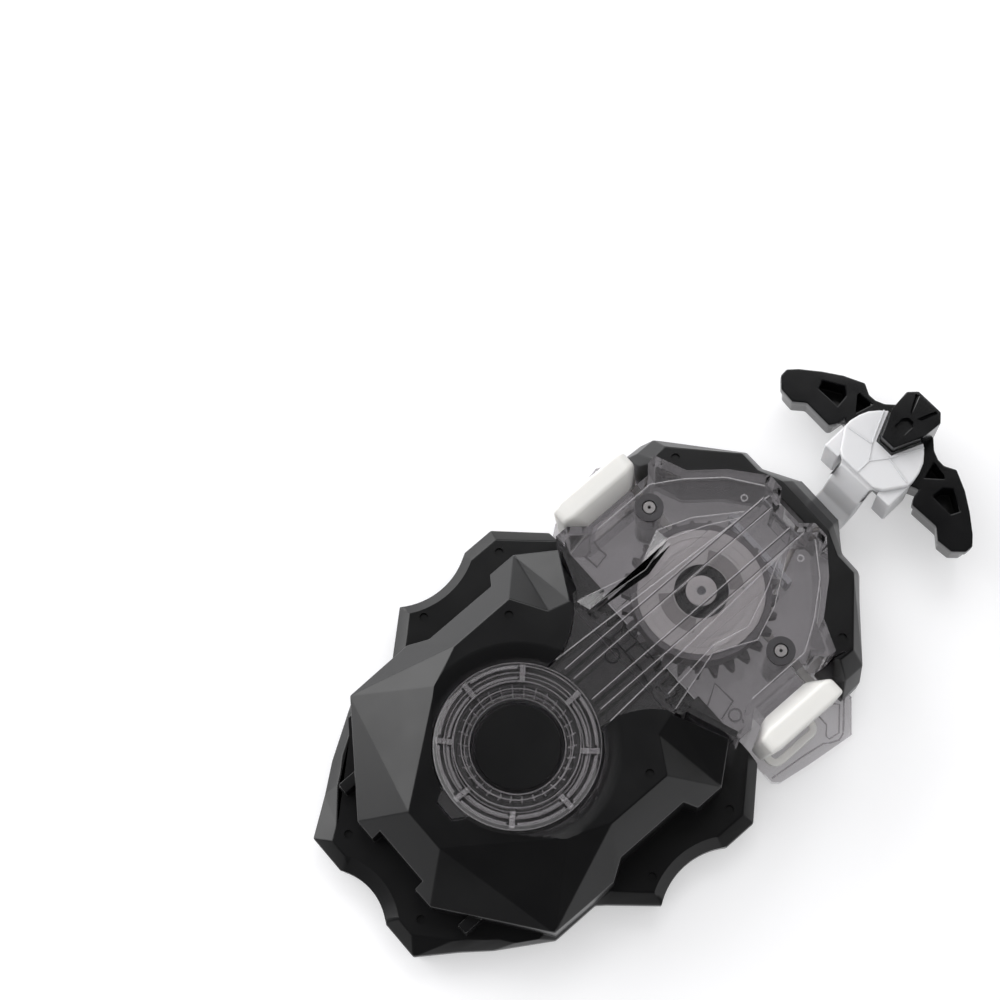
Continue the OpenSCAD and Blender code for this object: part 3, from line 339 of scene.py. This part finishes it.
low, high = box_mm("centre_disc")
ring_centre = (low + high)[:2] / 2
disc_r = (high - low)[0] / 2
flat_r = 1.5
disc_profile = fillet([(disc_r, low[2]), (disc_r, high[2] - 0.3), (disc_r - 0.55, high[2] - 0.25),
                       (disc_r - 0.7, high[2]), (flat_r, high[2]), (flat_r, low[2])], 0.12)
# The last two corners, four points each, move in to the axis and close the disc
disc_profile[-8:, 0] = 0.0
stand_in(turned(disc_profile, ring_centre), "centre_disc", "_skin", black_abs)


# Base plate: tinted polycarbonate, moulded with polished faces and a trace of haze. Four screws pass up
# through it into the cover and the end frame. Walls this thin hardly bend light, so the material's body
# has a low index, and a clear coat has the real gloss.
def clear(name, tint, shade, through=1.0):
    """Tinted clear plastic with a faint flow ripple. shade is what one surface takes from a shadow ray."""
    m = new_material(name)
    tree = m.node_tree
    ripple = object_noise(tree, 7.0, 1.0)
    bump = add(tree, "ShaderNodeBump", {
        "Height": ripple.outputs["Fac"], "Strength": 0.25, "Distance": 0.02 * MM})
    drift = object_noise(tree, 5.0, 3.0)
    roughness = add(tree, "ShaderNodeMapRange", {
        "Value": drift.outputs["Fac"], "To Min": 0.01, "To Max": 0.06})
    glass = add(tree, "ShaderNodeBsdfPrincipled", {
        "Base Color": srgb(tint), "Roughness": roughness.outputs[0], "IOR": 1.09,
        "Transmission Weight": through, "Coat Weight": 1.0, "Coat Roughness": 0.04, "Coat IOR": 1.58,
        "Normal": bump.outputs[0], "Coat Normal": bump.outputs[0]})
    clear_shadow = add(tree, "ShaderNodeBsdfTransparent", {"Color": srgb(shade)})
    rays = add(tree, "ShaderNodeLightPath")
    mix = add(tree, "ShaderNodeMixShader", {
        0: rays.outputs["Is Shadow Ray"], 1: glass.outputs[0], 2: clear_shadow.outputs[0]})
    add(tree, "ShaderNodeOutputMaterial", {"Surface": mix.outputs[0]})
    return m


# Smoke polycarbonate: a grey window with a sharp shine. Two paler smokes paint highlights on its thin edges
# and creases: they let less light straight through and show more of their pale tint
smoke = clear("smoke_polycarbonate", "C8C6C8", "E6E5E6")
smoke_highlight = clear("smoke_polycarbonate_painted_highlights", "BEBCBE", "E0DFE0", 0.82)
smoke_crease_highlight = clear("smoke_polycarbonate_crease_highlights", "D0CED0", "E0DFE0", 0.7)
rounded("base_plate", 0.2, smoke)


def bar_along(line, across, width, height, radius=0.15):
    """A rounded bar on a line of points: at each the section is width wide along across and height high
    upwards, with rounded corners."""
    p = np.asarray(line, float)
    side = np.broadcast_to(np.asarray(across, float), p.shape) * width / 2
    rise = np.array([0, 0, height])
    corners = np.stack([p - side, p + side, p + side + rise, p - side + rise], 1)
    return surface(fillet(corners, radius, 3), loop_u=False, caps=True)


def ridge(points, z, width=0.3, height=0.25, mirror=False):
    """Bars along a polyline of X and Y at height z, their sections square to the line's mean way on at
    each point. mirror adds the same on the other side of the middle plane."""
    made = []
    for side in (1, -1) if mirror else (1,):
        line = np.array([(side * x, y, z) for x, y in points], float)
        way = np.gradient(line, axis=0)
        way /= np.linalg.norm(way, axis=1, keepdims=True)
        across = np.column_stack([-way[:, 1], way[:, 0], 0 * way[:, 0]])
        made.append(bar_along(line, across, width, height, radius=0.4 * min(width, height)))
    return made


# Marks moulded with the base plate, their feet sunk a little into its top: the outline of a recess beside
# the right selector, the step inside the rim, three low ribs on each side and a small ring. Their paler
# smoke paints highlights on them.
plate_top, sunk = 1.8, 0.05
recess = [(32.6, 41.8), (35.0, 41.75), (36.7, 40.1), (37.5, 40.2), (37.9, 42.5), (33.7, 46.6), (32.6, 45.7)]
rim_step = [(33.2, 48.3), (38.6, 43.0), (39.0, 41.6), (38.2, 39.7), (37.4, 38.6), (36.6, 33.7), (35.8, 26.0)]
side_ribs = ([(16.3, 26.0), (13.7, 30.4), (18.9, 30.65), (20.1, 26.46)],
             [(-24.6, 28.0), (-20.6, 28.4), (-21.2, 31.6), (-24.9, 31.0)])
plate_ring_at = (21.35, 29.0)
plate_marks = []
for line in (recess, rim_step):
    plate_marks += ridge(line, plate_top - sunk, width=0.35, height=0.3)
for line in side_ribs:
    plate_marks += ridge(line, plate_top - sunk, width=0.4, height=0.9)
plate_marks.append(washer(1.5, 1.1, plate_top - sunk, plate_top + 0.8, plate_ring_at, steps=32))
show(joined(plate_marks), "base_plate_marks", "housing", smoke_highlight, "smoke_clear")

# Gears, drum and spring cup: acetal, moulded and unpainted, carried on steel pins. Through the smoke cover
# they show in a few greys. The pale cap has two darker fans under the stem, painted shade of the stem's
# rails, and two fine rings near its rim, and a collar on the post stands in its middle.
spool_centre = sum(box_mm("spool_axle"))[:2] / 2
cap_top = box_mm("spool_cap")[1][2]
# Acetal is a little waxy: the pale one lets some light in, and the grey ones look dense
milky = moulded("milky_acetal", "BFBDBC", 0.42, grain_depth=0.003, subsurface=0.2, ior=1.48)
grey_acetal = moulded("grey_acetal", "6A686A", 0.42, grain_depth=0.003, ior=1.48)
# The dark grey is the drive gear's own colour, and is also painted shade: the rails' shades, the screw
# crosses and the boss walls
dark_acetal_and_shade = moulded("dark_acetal_and_shade", "3A393B", 0.42, grain_depth=0.003, ior=1.48)
# This grey paints shade on the spool cap's fans and light in the cores of the screw bosses
light_and_shade_grey = moulded("grey_for_painted_light_and_shade", "8F8D8C", 0.42, grain_depth=0.003, ior=1.48)
dress("drive_gear", dark_acetal_and_shade)
dress("string_spool", grey_acetal)
dress("spool_cap", milky)
dress("spool_bush", black_gloss)
fan_r, fan_width, fan_half_angle = 7.15, 2.9, 38
fans = []
for middle in (-np.pi / 2, np.pi / 2):
    sweep = middle + np.radians(np.linspace(-fan_half_angle, fan_half_angle, 24))
    reach = np.column_stack([np.cos(sweep), np.sin(sweep), 0 * sweep])
    middle_line = np.array([*spool_centre, cap_top - 0.1]) + fan_r * reach
    fans.append(bar_along(middle_line, reach, fan_width, height=0.16, radius=0.06))
show(joined(fans), "spool_cap_fan_shades", "spool", light_and_shade_grey, "milky_plastic")
cap_rings = [washer(r, r + 0.3, cap_top - 0.05, cap_top + 0.1, spool_centre, steps=96) for r in (9.2, 11.1)]
show(joined(cap_rings), "spool_cap_rings", "spool", milky, "milky_plastic")
collar_foot = box_mm("spool_bush")[1][2] + 0.03
collar_profile = [(3.1, collar_foot), (3.1, collar_foot + 0.42), (2.8, collar_foot + 0.59),
                  (1.0, collar_foot + 0.59), (0.8, collar_foot + 0.27), (0.8, collar_foot)]
show(turned(collar_profile, spool_centre, steps=64), "axle_collar", "housing", milky, "milky_plastic")


# Steel parts, all bare: turned shaft and axle, washer, return spring of rolled strip, leaf spring, eyelet
# and screws. Fine drawn lines run up and down on them. The screws are driven from below.
def metal(name, color, rough):
    """Steel with fine drawn marks along Z, 0.25 mm apart and some 3 mm long."""
    m = new_material(name)
    tree = m.node_tree
    at = add(tree, "ShaderNodeTexCoord")
    stretch = add(tree, "ShaderNodeMapping", {"Vector": at.outputs["Object"], "Scale": (4000, 4000, 300)})
    marks = add(tree, "ShaderNodeTexNoise", {"Vector": stretch.outputs[0], "Scale": 1.0, "Detail": 2.0})
    roughness = add(tree, "ShaderNodeMapRange", {
        "Value": marks.outputs["Fac"], "To Min": rough - 0.08, "To Max": rough + 0.08})
    shader = add(tree, "ShaderNodeBsdfPrincipled", {
        "Base Color": srgb(color), "Metallic": 1.0, "Roughness": roughness.outputs[0]})
    add(tree, "ShaderNodeOutputMaterial", {"Surface": shader.outputs[0]})
    return m


# Bright steel from the lathe, and the darker, bluer grey of tempered strip
steel = metal("turned_steel", "B9BABD", 0.3)
spring_steel = metal("rolled_spring_steel", "8F9298", 0.28)
for node in ("launch_shaft", "shaft_washer", "spool_axle", "string_guide", "case_screws", "return_spring",
             "selector_detent"):
    dress(node, spring_steel if SLOT_OF[node] == "spring_steel" else steel)
dress("hook_hub", black_gloss)
dress("hook_prongs", black_gloss if SLOT_OF["hook_prongs"].startswith("black") else steel)

# A cross of two dark bars in the head of each screw: painted shade for its recess. The heads are found as
# the clusters of the node's points in plan.
screw_reach, cross_half = 5, 1.15
spots = np.array([v.co for v in NODES["case_screws"].data.vertices]) / MM
crosses = []
while len(spots):
    near = np.hypot(*(spots[:, :2] - spots[0, :2]).T) < screw_reach
    own = spots[near]
    head = np.append((own.min(0) + own.max(0))[:2] / 2, own[:, 2].min() - 0.03)
    for way in (np.array([1.0, 0, 0]), np.array([0, 1.0, 0])):
        crosses.append(bar_along([head - cross_half * way, head + cross_half * way], (way[1], -way[0], 0),
                                 width=0.5, height=0.2, radius=0.05))
    spots = spots[~near]
show(joined(crosses), "screw_recess_shades", "housing", dark_acetal_and_shade, SLOT_OF["case_screws"])


# String: braided nylon cord, 1.2 mm thick. It lies in turns on the drum, runs off them on a tangent,
# through the eyelet, and ends in a knot behind the hole in the strap.
def braided(name, color, strand_mm):
    """Braided cord: crossed diagonal waves for the strands."""
    m = new_material(name)
    tree = m.node_tree
    at = add(tree, "ShaderNodeTexCoord")
    waves = []
    for lean in (0.8, -0.8):
        way = add(tree, "ShaderNodeMapping", {"Vector": at.outputs["Object"], "Rotation": (0.0, lean, lean)})
        waves.append(add(tree, "ShaderNodeTexWave", {
            "Vector": way.outputs[0], "Scale": 1 / (strand_mm * MM), "Distortion": 0.5}))
    top = add(tree, "ShaderNodeMath", {0: waves[0].outputs["Fac"], 1: waves[1].outputs["Fac"]},
              operation="MAXIMUM")
    bump = add(tree, "ShaderNodeBump", {"Height": top.outputs[0], "Strength": 0.6, "Distance": 0.05 * MM})
    shader = add(tree, "ShaderNodeBsdfPrincipled", {
        "Base Color": srgb(color), "Roughness": 0.85, "Sheen Weight": 0.3, "Normal": bump.outputs[0]})
    add(tree, "ShaderNodeOutputMaterial", {"Surface": shader.outputs[0]})
    return m


# Braided nylon: off-white and dull, with a soft sheen along the strands
cord_white = braided("braided_nylon_cord", "EFECE6", 0.5)
string_r = 0.6


def tube(line, radius, steps=10, loop=False):
    """A round section carried along a line of points, square to its way on."""
    p = np.asarray(line, float)
    ahead = np.roll(p, -1, 0) - np.roll(p, 1, 0) if loop else np.gradient(p, axis=0)
    ahead /= np.linalg.norm(ahead, axis=1, keepdims=True)
    side = np.cross(ahead, (0.03, 0.02, 1.0))
    side /= np.linalg.norm(side, axis=1, keepdims=True)
    rise = np.cross(side, ahead)
    a = np.linspace(0, 2 * np.pi, steps, endpoint=False)[None, :, None]
    ring = p[:, None] + radius * (side[:, None] * np.cos(a) + rise[:, None] * np.sin(a))
    return surface(ring, loop_u=loop, caps=not loop)


# The turns: a helix up and down between the flanges, one string further in after each pass
low, high = box_mm("wound_string")
spots = np.array([v.co for v in NODES["wound_string"].data.vertices])[:, :2] / MM - spool_centre
drum_r, wound_r = np.hypot(*spots.T).min(), np.hypot(*spots.T).max()
# A last layer counts where two thirds of it fit
layers = max(1, int((wound_r - drum_r) / (2 * string_r) + 0.35))
around = np.linspace(0, layers * 4 * np.pi, layers * 120)
passes = around / (4 * np.pi)
climb = np.abs((passes + 1) % 2 - 1)
layer_r = np.maximum(wound_r - string_r - 2 * string_r * passes, drum_r + 0.5 * string_r)
turns_z = low[2] + string_r + climb * (high[2] - low[2] - 2 * string_r)
line = np.column_stack([spool_centre[0] + layer_r * np.cos(around),
                        spool_centre[1] + layer_r * np.sin(around), turns_z])
stand_in(tube(line, string_r), "wound_string", "_turns", cord_white)

# The lead: straight between the eyelet and the strap, as it lies. Pulling the handle draws it out there,
# which this piece does not follow
low, high = box_mm("string_lead")
knot = sum(box_mm("string_knot")) / 2
start = np.array([high[0] - string_r, low[1] + 0.35, high[2] - string_r])
end = np.array([knot[0] - 0.1, high[1] - 0.3, knot[2]])
share = np.linspace(0, 1, 80)[:, None]
lead = show(tube(start + (end - start) * share, string_r * 0.96), "string_lead_cord", None, cord_white,
            SLOT_OF["string_lead"], "string_lead")
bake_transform(lead)

# The knot: a trefoil pulled tight
t = np.linspace(0, 2 * np.pi, 90, endpoint=False)
trefoil = np.column_stack([np.sin(t) + 2 * np.sin(2 * t), -np.sin(3 * t), np.cos(t) - 2 * np.cos(2 * t)])
knot_size = 0.29
stand_in(tube(knot + knot_size * trefoil, string_r, loop=True), "string_knot", "_cord", cord_white)

# Cover: one moulding of smoke polycarbonate with the stem, a raised leaf over the spool and the stepped
# ring that clamps the disc. Two screws hold it from below. Pale bars along its creases are painted
# highlights.
cover = bmesh.new()
cover.from_mesh(NODES["top_cover"].data)
bmesh.ops.remove_doubles(cover, verts=cover.verts, dist=weld)
channel_floor, air = 21.0, 0.04
for v in cover.verts:
    # It stands on the base plate and on the channel's floor: a hair of air there keeps both faces apart
    if min(abs(v.co.z / MM - seat) for seat in (plate_top, channel_floor)) < air / 2:
        v.co.z += air * MM
stand_in(cover, "top_cover", "_skin", smoke, sharp=12)
deck_z = 22.3
leaf_foot = [(14.5, 17.9), (11.0, 31.0), (14.9, 39.3), (12.2, 46.3), (6.2, 55.0)]
leaf_crest = [(11.5, 18.6), (10.1, 32.0), (11.9, 39.5), (8.9, 47.0), (5.4, 53.6)]
deck_edge = [(22.9, 30.5), (22.9, 44.6), (19.3, 50.4), (13.9, 57.0), (7.4, 61.7)]
pip_x, pip_y = 8.3, 56.9
# Pale bars on the leaf's foot and crest, along the deck's edge and round two pips: painted highlights
marks = ridge(leaf_foot, deck_z - 0.12, width=0.24, height=0.22, mirror=True)
marks += ridge(leaf_crest, deck_z + 1.36, width=0.2, height=0.18, mirror=True)
marks += ridge(deck_edge, deck_z - 0.1, width=0.26, height=0.22, mirror=True)
for x in (pip_x, -pip_x):
    marks.append(washer(0.75, 0.5, deck_z - 0.1, deck_z + 0.12, (x, pip_y), steps=32))

# Rails of the stem: each has two top edges with painted highlights of paler smoke and a thin painted shade of
# dark plastic beside them, and an outer edge that closes in on the stem towards its end, with a painted
# highlight too.
stem_start, stem_middle, stem_end = 6.5, 30.0, 58.8
edges = []
shades = []
for edge_x, shade_x in ((2.7, 2.95), (5.3, 5.05)):
    edge = [(edge_x, y) for y in (stem_start, stem_middle, stem_end)]
    shade = [(shade_x, y) for y in (stem_start, stem_middle, stem_end)]
    edges += ridge(edge, deck_z + 3.3, width=0.2, height=0.16, mirror=True)
    shades += ridge(shade, deck_z + 3.1, width=0.16, height=0.14, mirror=True)
edges += ridge([(8.1, stem_start), (5.1, 60.5)], deck_z + 1.8, width=0.24, height=0.2, mirror=True)
show(joined(edges), "rail_edge_highlights", "housing", smoke_crease_highlight, "smoke_clear")
show(joined(shades), "rail_shades", "housing", dark_acetal_and_shade, "smoke_clear")
show(joined(marks), "cover_edge_highlights", "housing", smoke_crease_highlight, "smoke_clear")

# Screw bosses inside the cover, one on each side, drawn as they show through the deck: a dark ring of
# painted shade for the wall round a paler core of painted light with a small hole.
boss_x, boss_y = 19.5, 41.4
boss_foot, boss_top = 20.9, 21.9
hole_r = 0.35
core_profile = [(1.45, boss_foot), (1.2, boss_top), (hole_r, boss_top), (hole_r, boss_foot)]
walls = []
cores = []
for x in (boss_x, -boss_x):
    walls.append(washer(2.9, 1.5, boss_foot, boss_top, (x, boss_y), steps=48))
    cores.append(turned(core_profile, (x, boss_y), steps=32))
show(joined(walls), "boss_rings", "housing", dark_acetal_and_shade, "smoke_clear")
show(joined(cores), "boss_cores", "housing", light_and_shade_grey, "smoke_clear")

# Ring: part of the cover's moulding. Its steps have thin bright creases, its inner slope short radial
# ribs, and its ledges arcs between eight bridges. All are of paler smoke: the creases and arcs are painted
# highlights, and the ribs and bridges carry painted highlights.
ring_foot = np.array([*ring_centre, 0])
step_edges = ((16.4, 25.55), (15.65, 26.4), (14.3, 26.4), (13.8, 24.5), (12.85, 24.5), (12.4, 27.85),
              (10.9, 27.85), (10.4, 24.05), (9.45, 25.2))
around = np.linspace(0, 2 * np.pi, 120, endpoint=False)
parts = []
for r, z in step_edges:
    circle = np.column_stack([r * np.cos(around), r * np.sin(around), z + 0 * around])
    parts.append(tube(ring_foot + circle, radius=0.11, steps=6, loop=True))
rib_line = ((9.85, 24.2), (10.6, 24.9), (11.6, 27.3))
ribs = 30
for angle in np.arange(ribs) * 2 * np.pi / ribs:
    out = np.array([math.cos(angle), math.sin(angle), 0])
    line = [ring_foot + r * out + (0, 0, z) for r, z in rib_line]
    parts.append(bar_along(line, (-out[1], out[0], 0), width=0.3, height=0.5))
bridge_start, bridge_end = (12.7, 24.3), (16.1, 25.2)
bridges = 8
for number in range(bridges):
    angle = np.pi / 2 + 2 * np.pi / bridges * number
    out = np.array([math.cos(angle), math.sin(angle), 0])
    line = [ring_foot + r * out + (0, 0, z) for r, z in (bridge_start, bridge_end)]
    parts.append(bar_along(line, (-out[1], out[0], 0), width=1.1, height=0.7))
    # No arcs after the first bridge, the one in line with the stem
    if number:
        sweep = angle + 2 * np.pi / bridges * np.linspace(0.09, 0.91, 12)
        out = np.column_stack([np.cos(sweep), np.sin(sweep), 0 * sweep])
        for arc_r, arc_z in ((15.35, 26.05), (13.6, 24.2)):
            parts.append(bar_along(ring_foot + arc_r * out + (0, 0, arc_z), out, width=0.5, height=0.42))
show(joined(parts), "ring_ribs_and_highlights", BODY_OF["top_cover"], smoke_highlight, SLOT_OF["top_cover"])

# Floor of the stem's channel: the black casing shows small marks there, moulded with it and seen through
# the clear stem: a ring, and a frame with a bar across it.
outline = [(-4.6, 18.2), (4.6, 18.2), (4.6, 21.5), (-4.6, 21.5), (-4.6, 18.2)]
cross_bar = [(-0.6, 18.2), (-0.6, 21.5)]
channel_ring_at = (-1.8, 15.8)
marks = [washer(1.6, 1.25, channel_floor - 0.1, channel_floor + 0.3, channel_ring_at, steps=32)]
for line in (outline, cross_bar):
    marks += ridge(line, channel_floor - sunk, width=0.3, height=0.3)
show(joined(marks), "channel_marks", "housing", black_gloss, "black_plastic")

# End frame: a black ABS horseshoe in the casing's finish. It lies over the cover's edge, held by two
# screws from below, and has the slot that the strap comes out of.
rounded("end_frame", 0.28, black_abs)


# Selector: white acetal loops with soft edges, joined by a flat link under the spool. The loop's top bar
# slopes towards the cover. On the right a flat foot frame stands out over the wider base plate.
def smoothstep(t):
    """0 below 0, 1 above 1, with a smooth rise between."""
    t = np.clip(t, 0, 1)
    return t * t * (3 - 2 * t)


def selector_loop(node, side):
    """The section goes round two rounded rectangles in Y and Z, the loop's outside and its window. Its
    reach along X follows the height, and is shorter at both ends of the top bar."""
    low, high = box_mm(node)
    inner_x, outer_x = (low[0], high[0]) if side > 0 else (-high[0], -low[0])
    back, front, top, bottom = low[1], high[1], high[2], low[2]
    post, bar_z, foot_z, corner = 3.4, 18.0, 4.4, 2.6
    outside = fillet([(back, bottom), (front, bottom), (front, top), (back, top)], corner, 9)
    window = fillet([(back + post, foot_z), (front - post, foot_z), (front - post, bar_z),
                     (back + post, bar_z)], 1.4, 9)
    rise_start, rise = 9, 9
    high_share = smoothstep((outside[:, 1] - rise_start) / rise)
    from_end = (np.abs(outside[:, 0] - (back + front) / 2) - (front - back) / 2 + corner) / corner
    end_share = smoothstep(from_end)
    # The posts lie set_in from the inner side and foot_tuck from the outer one. Upwards the section
    # shifts by slope outside the window and by spread inside it, and narrows at the ends of the bar
    set_in, foot_tuck, slope, spread, narrow_in, narrow_out = 2.2, 1.9, 0.9, 2.0, 0.4, 0.3
    tuck = foot_tuck * (1 - high_share)
    in_out = inner_x + set_in + high_share * (slope + narrow_in * end_share)
    in_in = inner_x + set_in - spread * high_share + narrow_out * high_share * end_share
    out_out = outer_x - tuck - high_share * narrow_out * end_share
    out_in = outer_x - tuck
    corners = np.stack([
        np.stack([side * in_out, *outside.T], 1), np.stack([side * out_out, *outside.T], 1),
        np.stack([side * out_in, *window.T], 1), np.stack([side * in_in, *window.T], 1)], 1)
    return surface(fillet(corners, 0.7, 5))


def foot_frame(node):
    """A flat U of rounded section, on the right: out from the rear post, along the side, and back in."""
    low, high = box_mm(node)
    out_x = high[0] + 0.55
    back, front, arm = low[1] + 1.6, low[1] + 13.0, 5.0
    path = [(out_x - arm, back), (out_x, back), (out_x, front), (out_x - arm, front)]
    # The two middle corners' arcs, six points each, with the nearest point of the outer corners' arcs
    line = fillet(path, 1.8, 6)[5:19]
    along = np.gradient(line, axis=0)
    along /= np.linalg.norm(along, axis=1, keepdims=True)
    across = np.column_stack([along[:, 1], -along[:, 0], 0 * along[:, 0]])
    line = np.column_stack([line, np.full(len(line), low[2])])
    return bar_along(line, across, width=1.6, height=1.5, radius=0.35)


# Acetal, pigmented white: opaque, with a soft shine and a little light under its skin
white_acetal = moulded("white_acetal", "E1E0DD", 0.32, grain_depth=0.003, subsurface=0.3, ior=1.48)
stand_in(selector_loop("selector_left", -1), "selector_left", "_skin", white_acetal)
right_end = joined([selector_loop("selector_right", 1), foot_frame("selector_right")])
stand_in(right_end, "selector_right", "_skin", white_acetal)
rounded("selector_bar", 0.15, white_acetal)

# Handle: a yoke of natural acetal, a cooler white without pigment that light goes into, and a polished
# black grip hooked on it. The yoke's flat head has low facets round the boss, and lies turned by a few
# degrees, as the string lets it.
natural_acetal = moulded("natural_acetal", "D8D8DA", 0.34, grain_depth=0.003, subsurface=0.4, ior=1.48)
rounded("handle_yoke", 0.45, natural_acetal, segments=3)
head_at, head_turn = np.array([2.0, 85.0]), math.radians(2.8)
head_rim = [(-8.2, -0.6), (-2.4, 0.3), (-0.3, -2.8), (2.2, 0.6), (8.2, -0.6)]
crease_ends = [(-0.3, -6.0), (-5.6, 7.2), (5.6, 7.2)]
spin = np.array([[math.cos(head_turn), math.sin(head_turn)], [-math.sin(head_turn), math.cos(head_turn)]])
head = head_at + np.array(head_rim + crease_ends) @ spin
crease_z = box_mm("handle_yoke")[1][2] - 0.1
creases = []
# One crease follows the five points of the rim, and three run from it to the three ends
for run in ((0, 1, 2, 3, 4), (2, 5), (1, 6), (3, 7)):
    creases += ridge(head[list(run)], crease_z, width=0.35, height=0.3)
show(joined(creases), "yoke_creases", "handle", natural_acetal, "white_plastic")
rounded("handle_grip", 0.3, black_gloss)
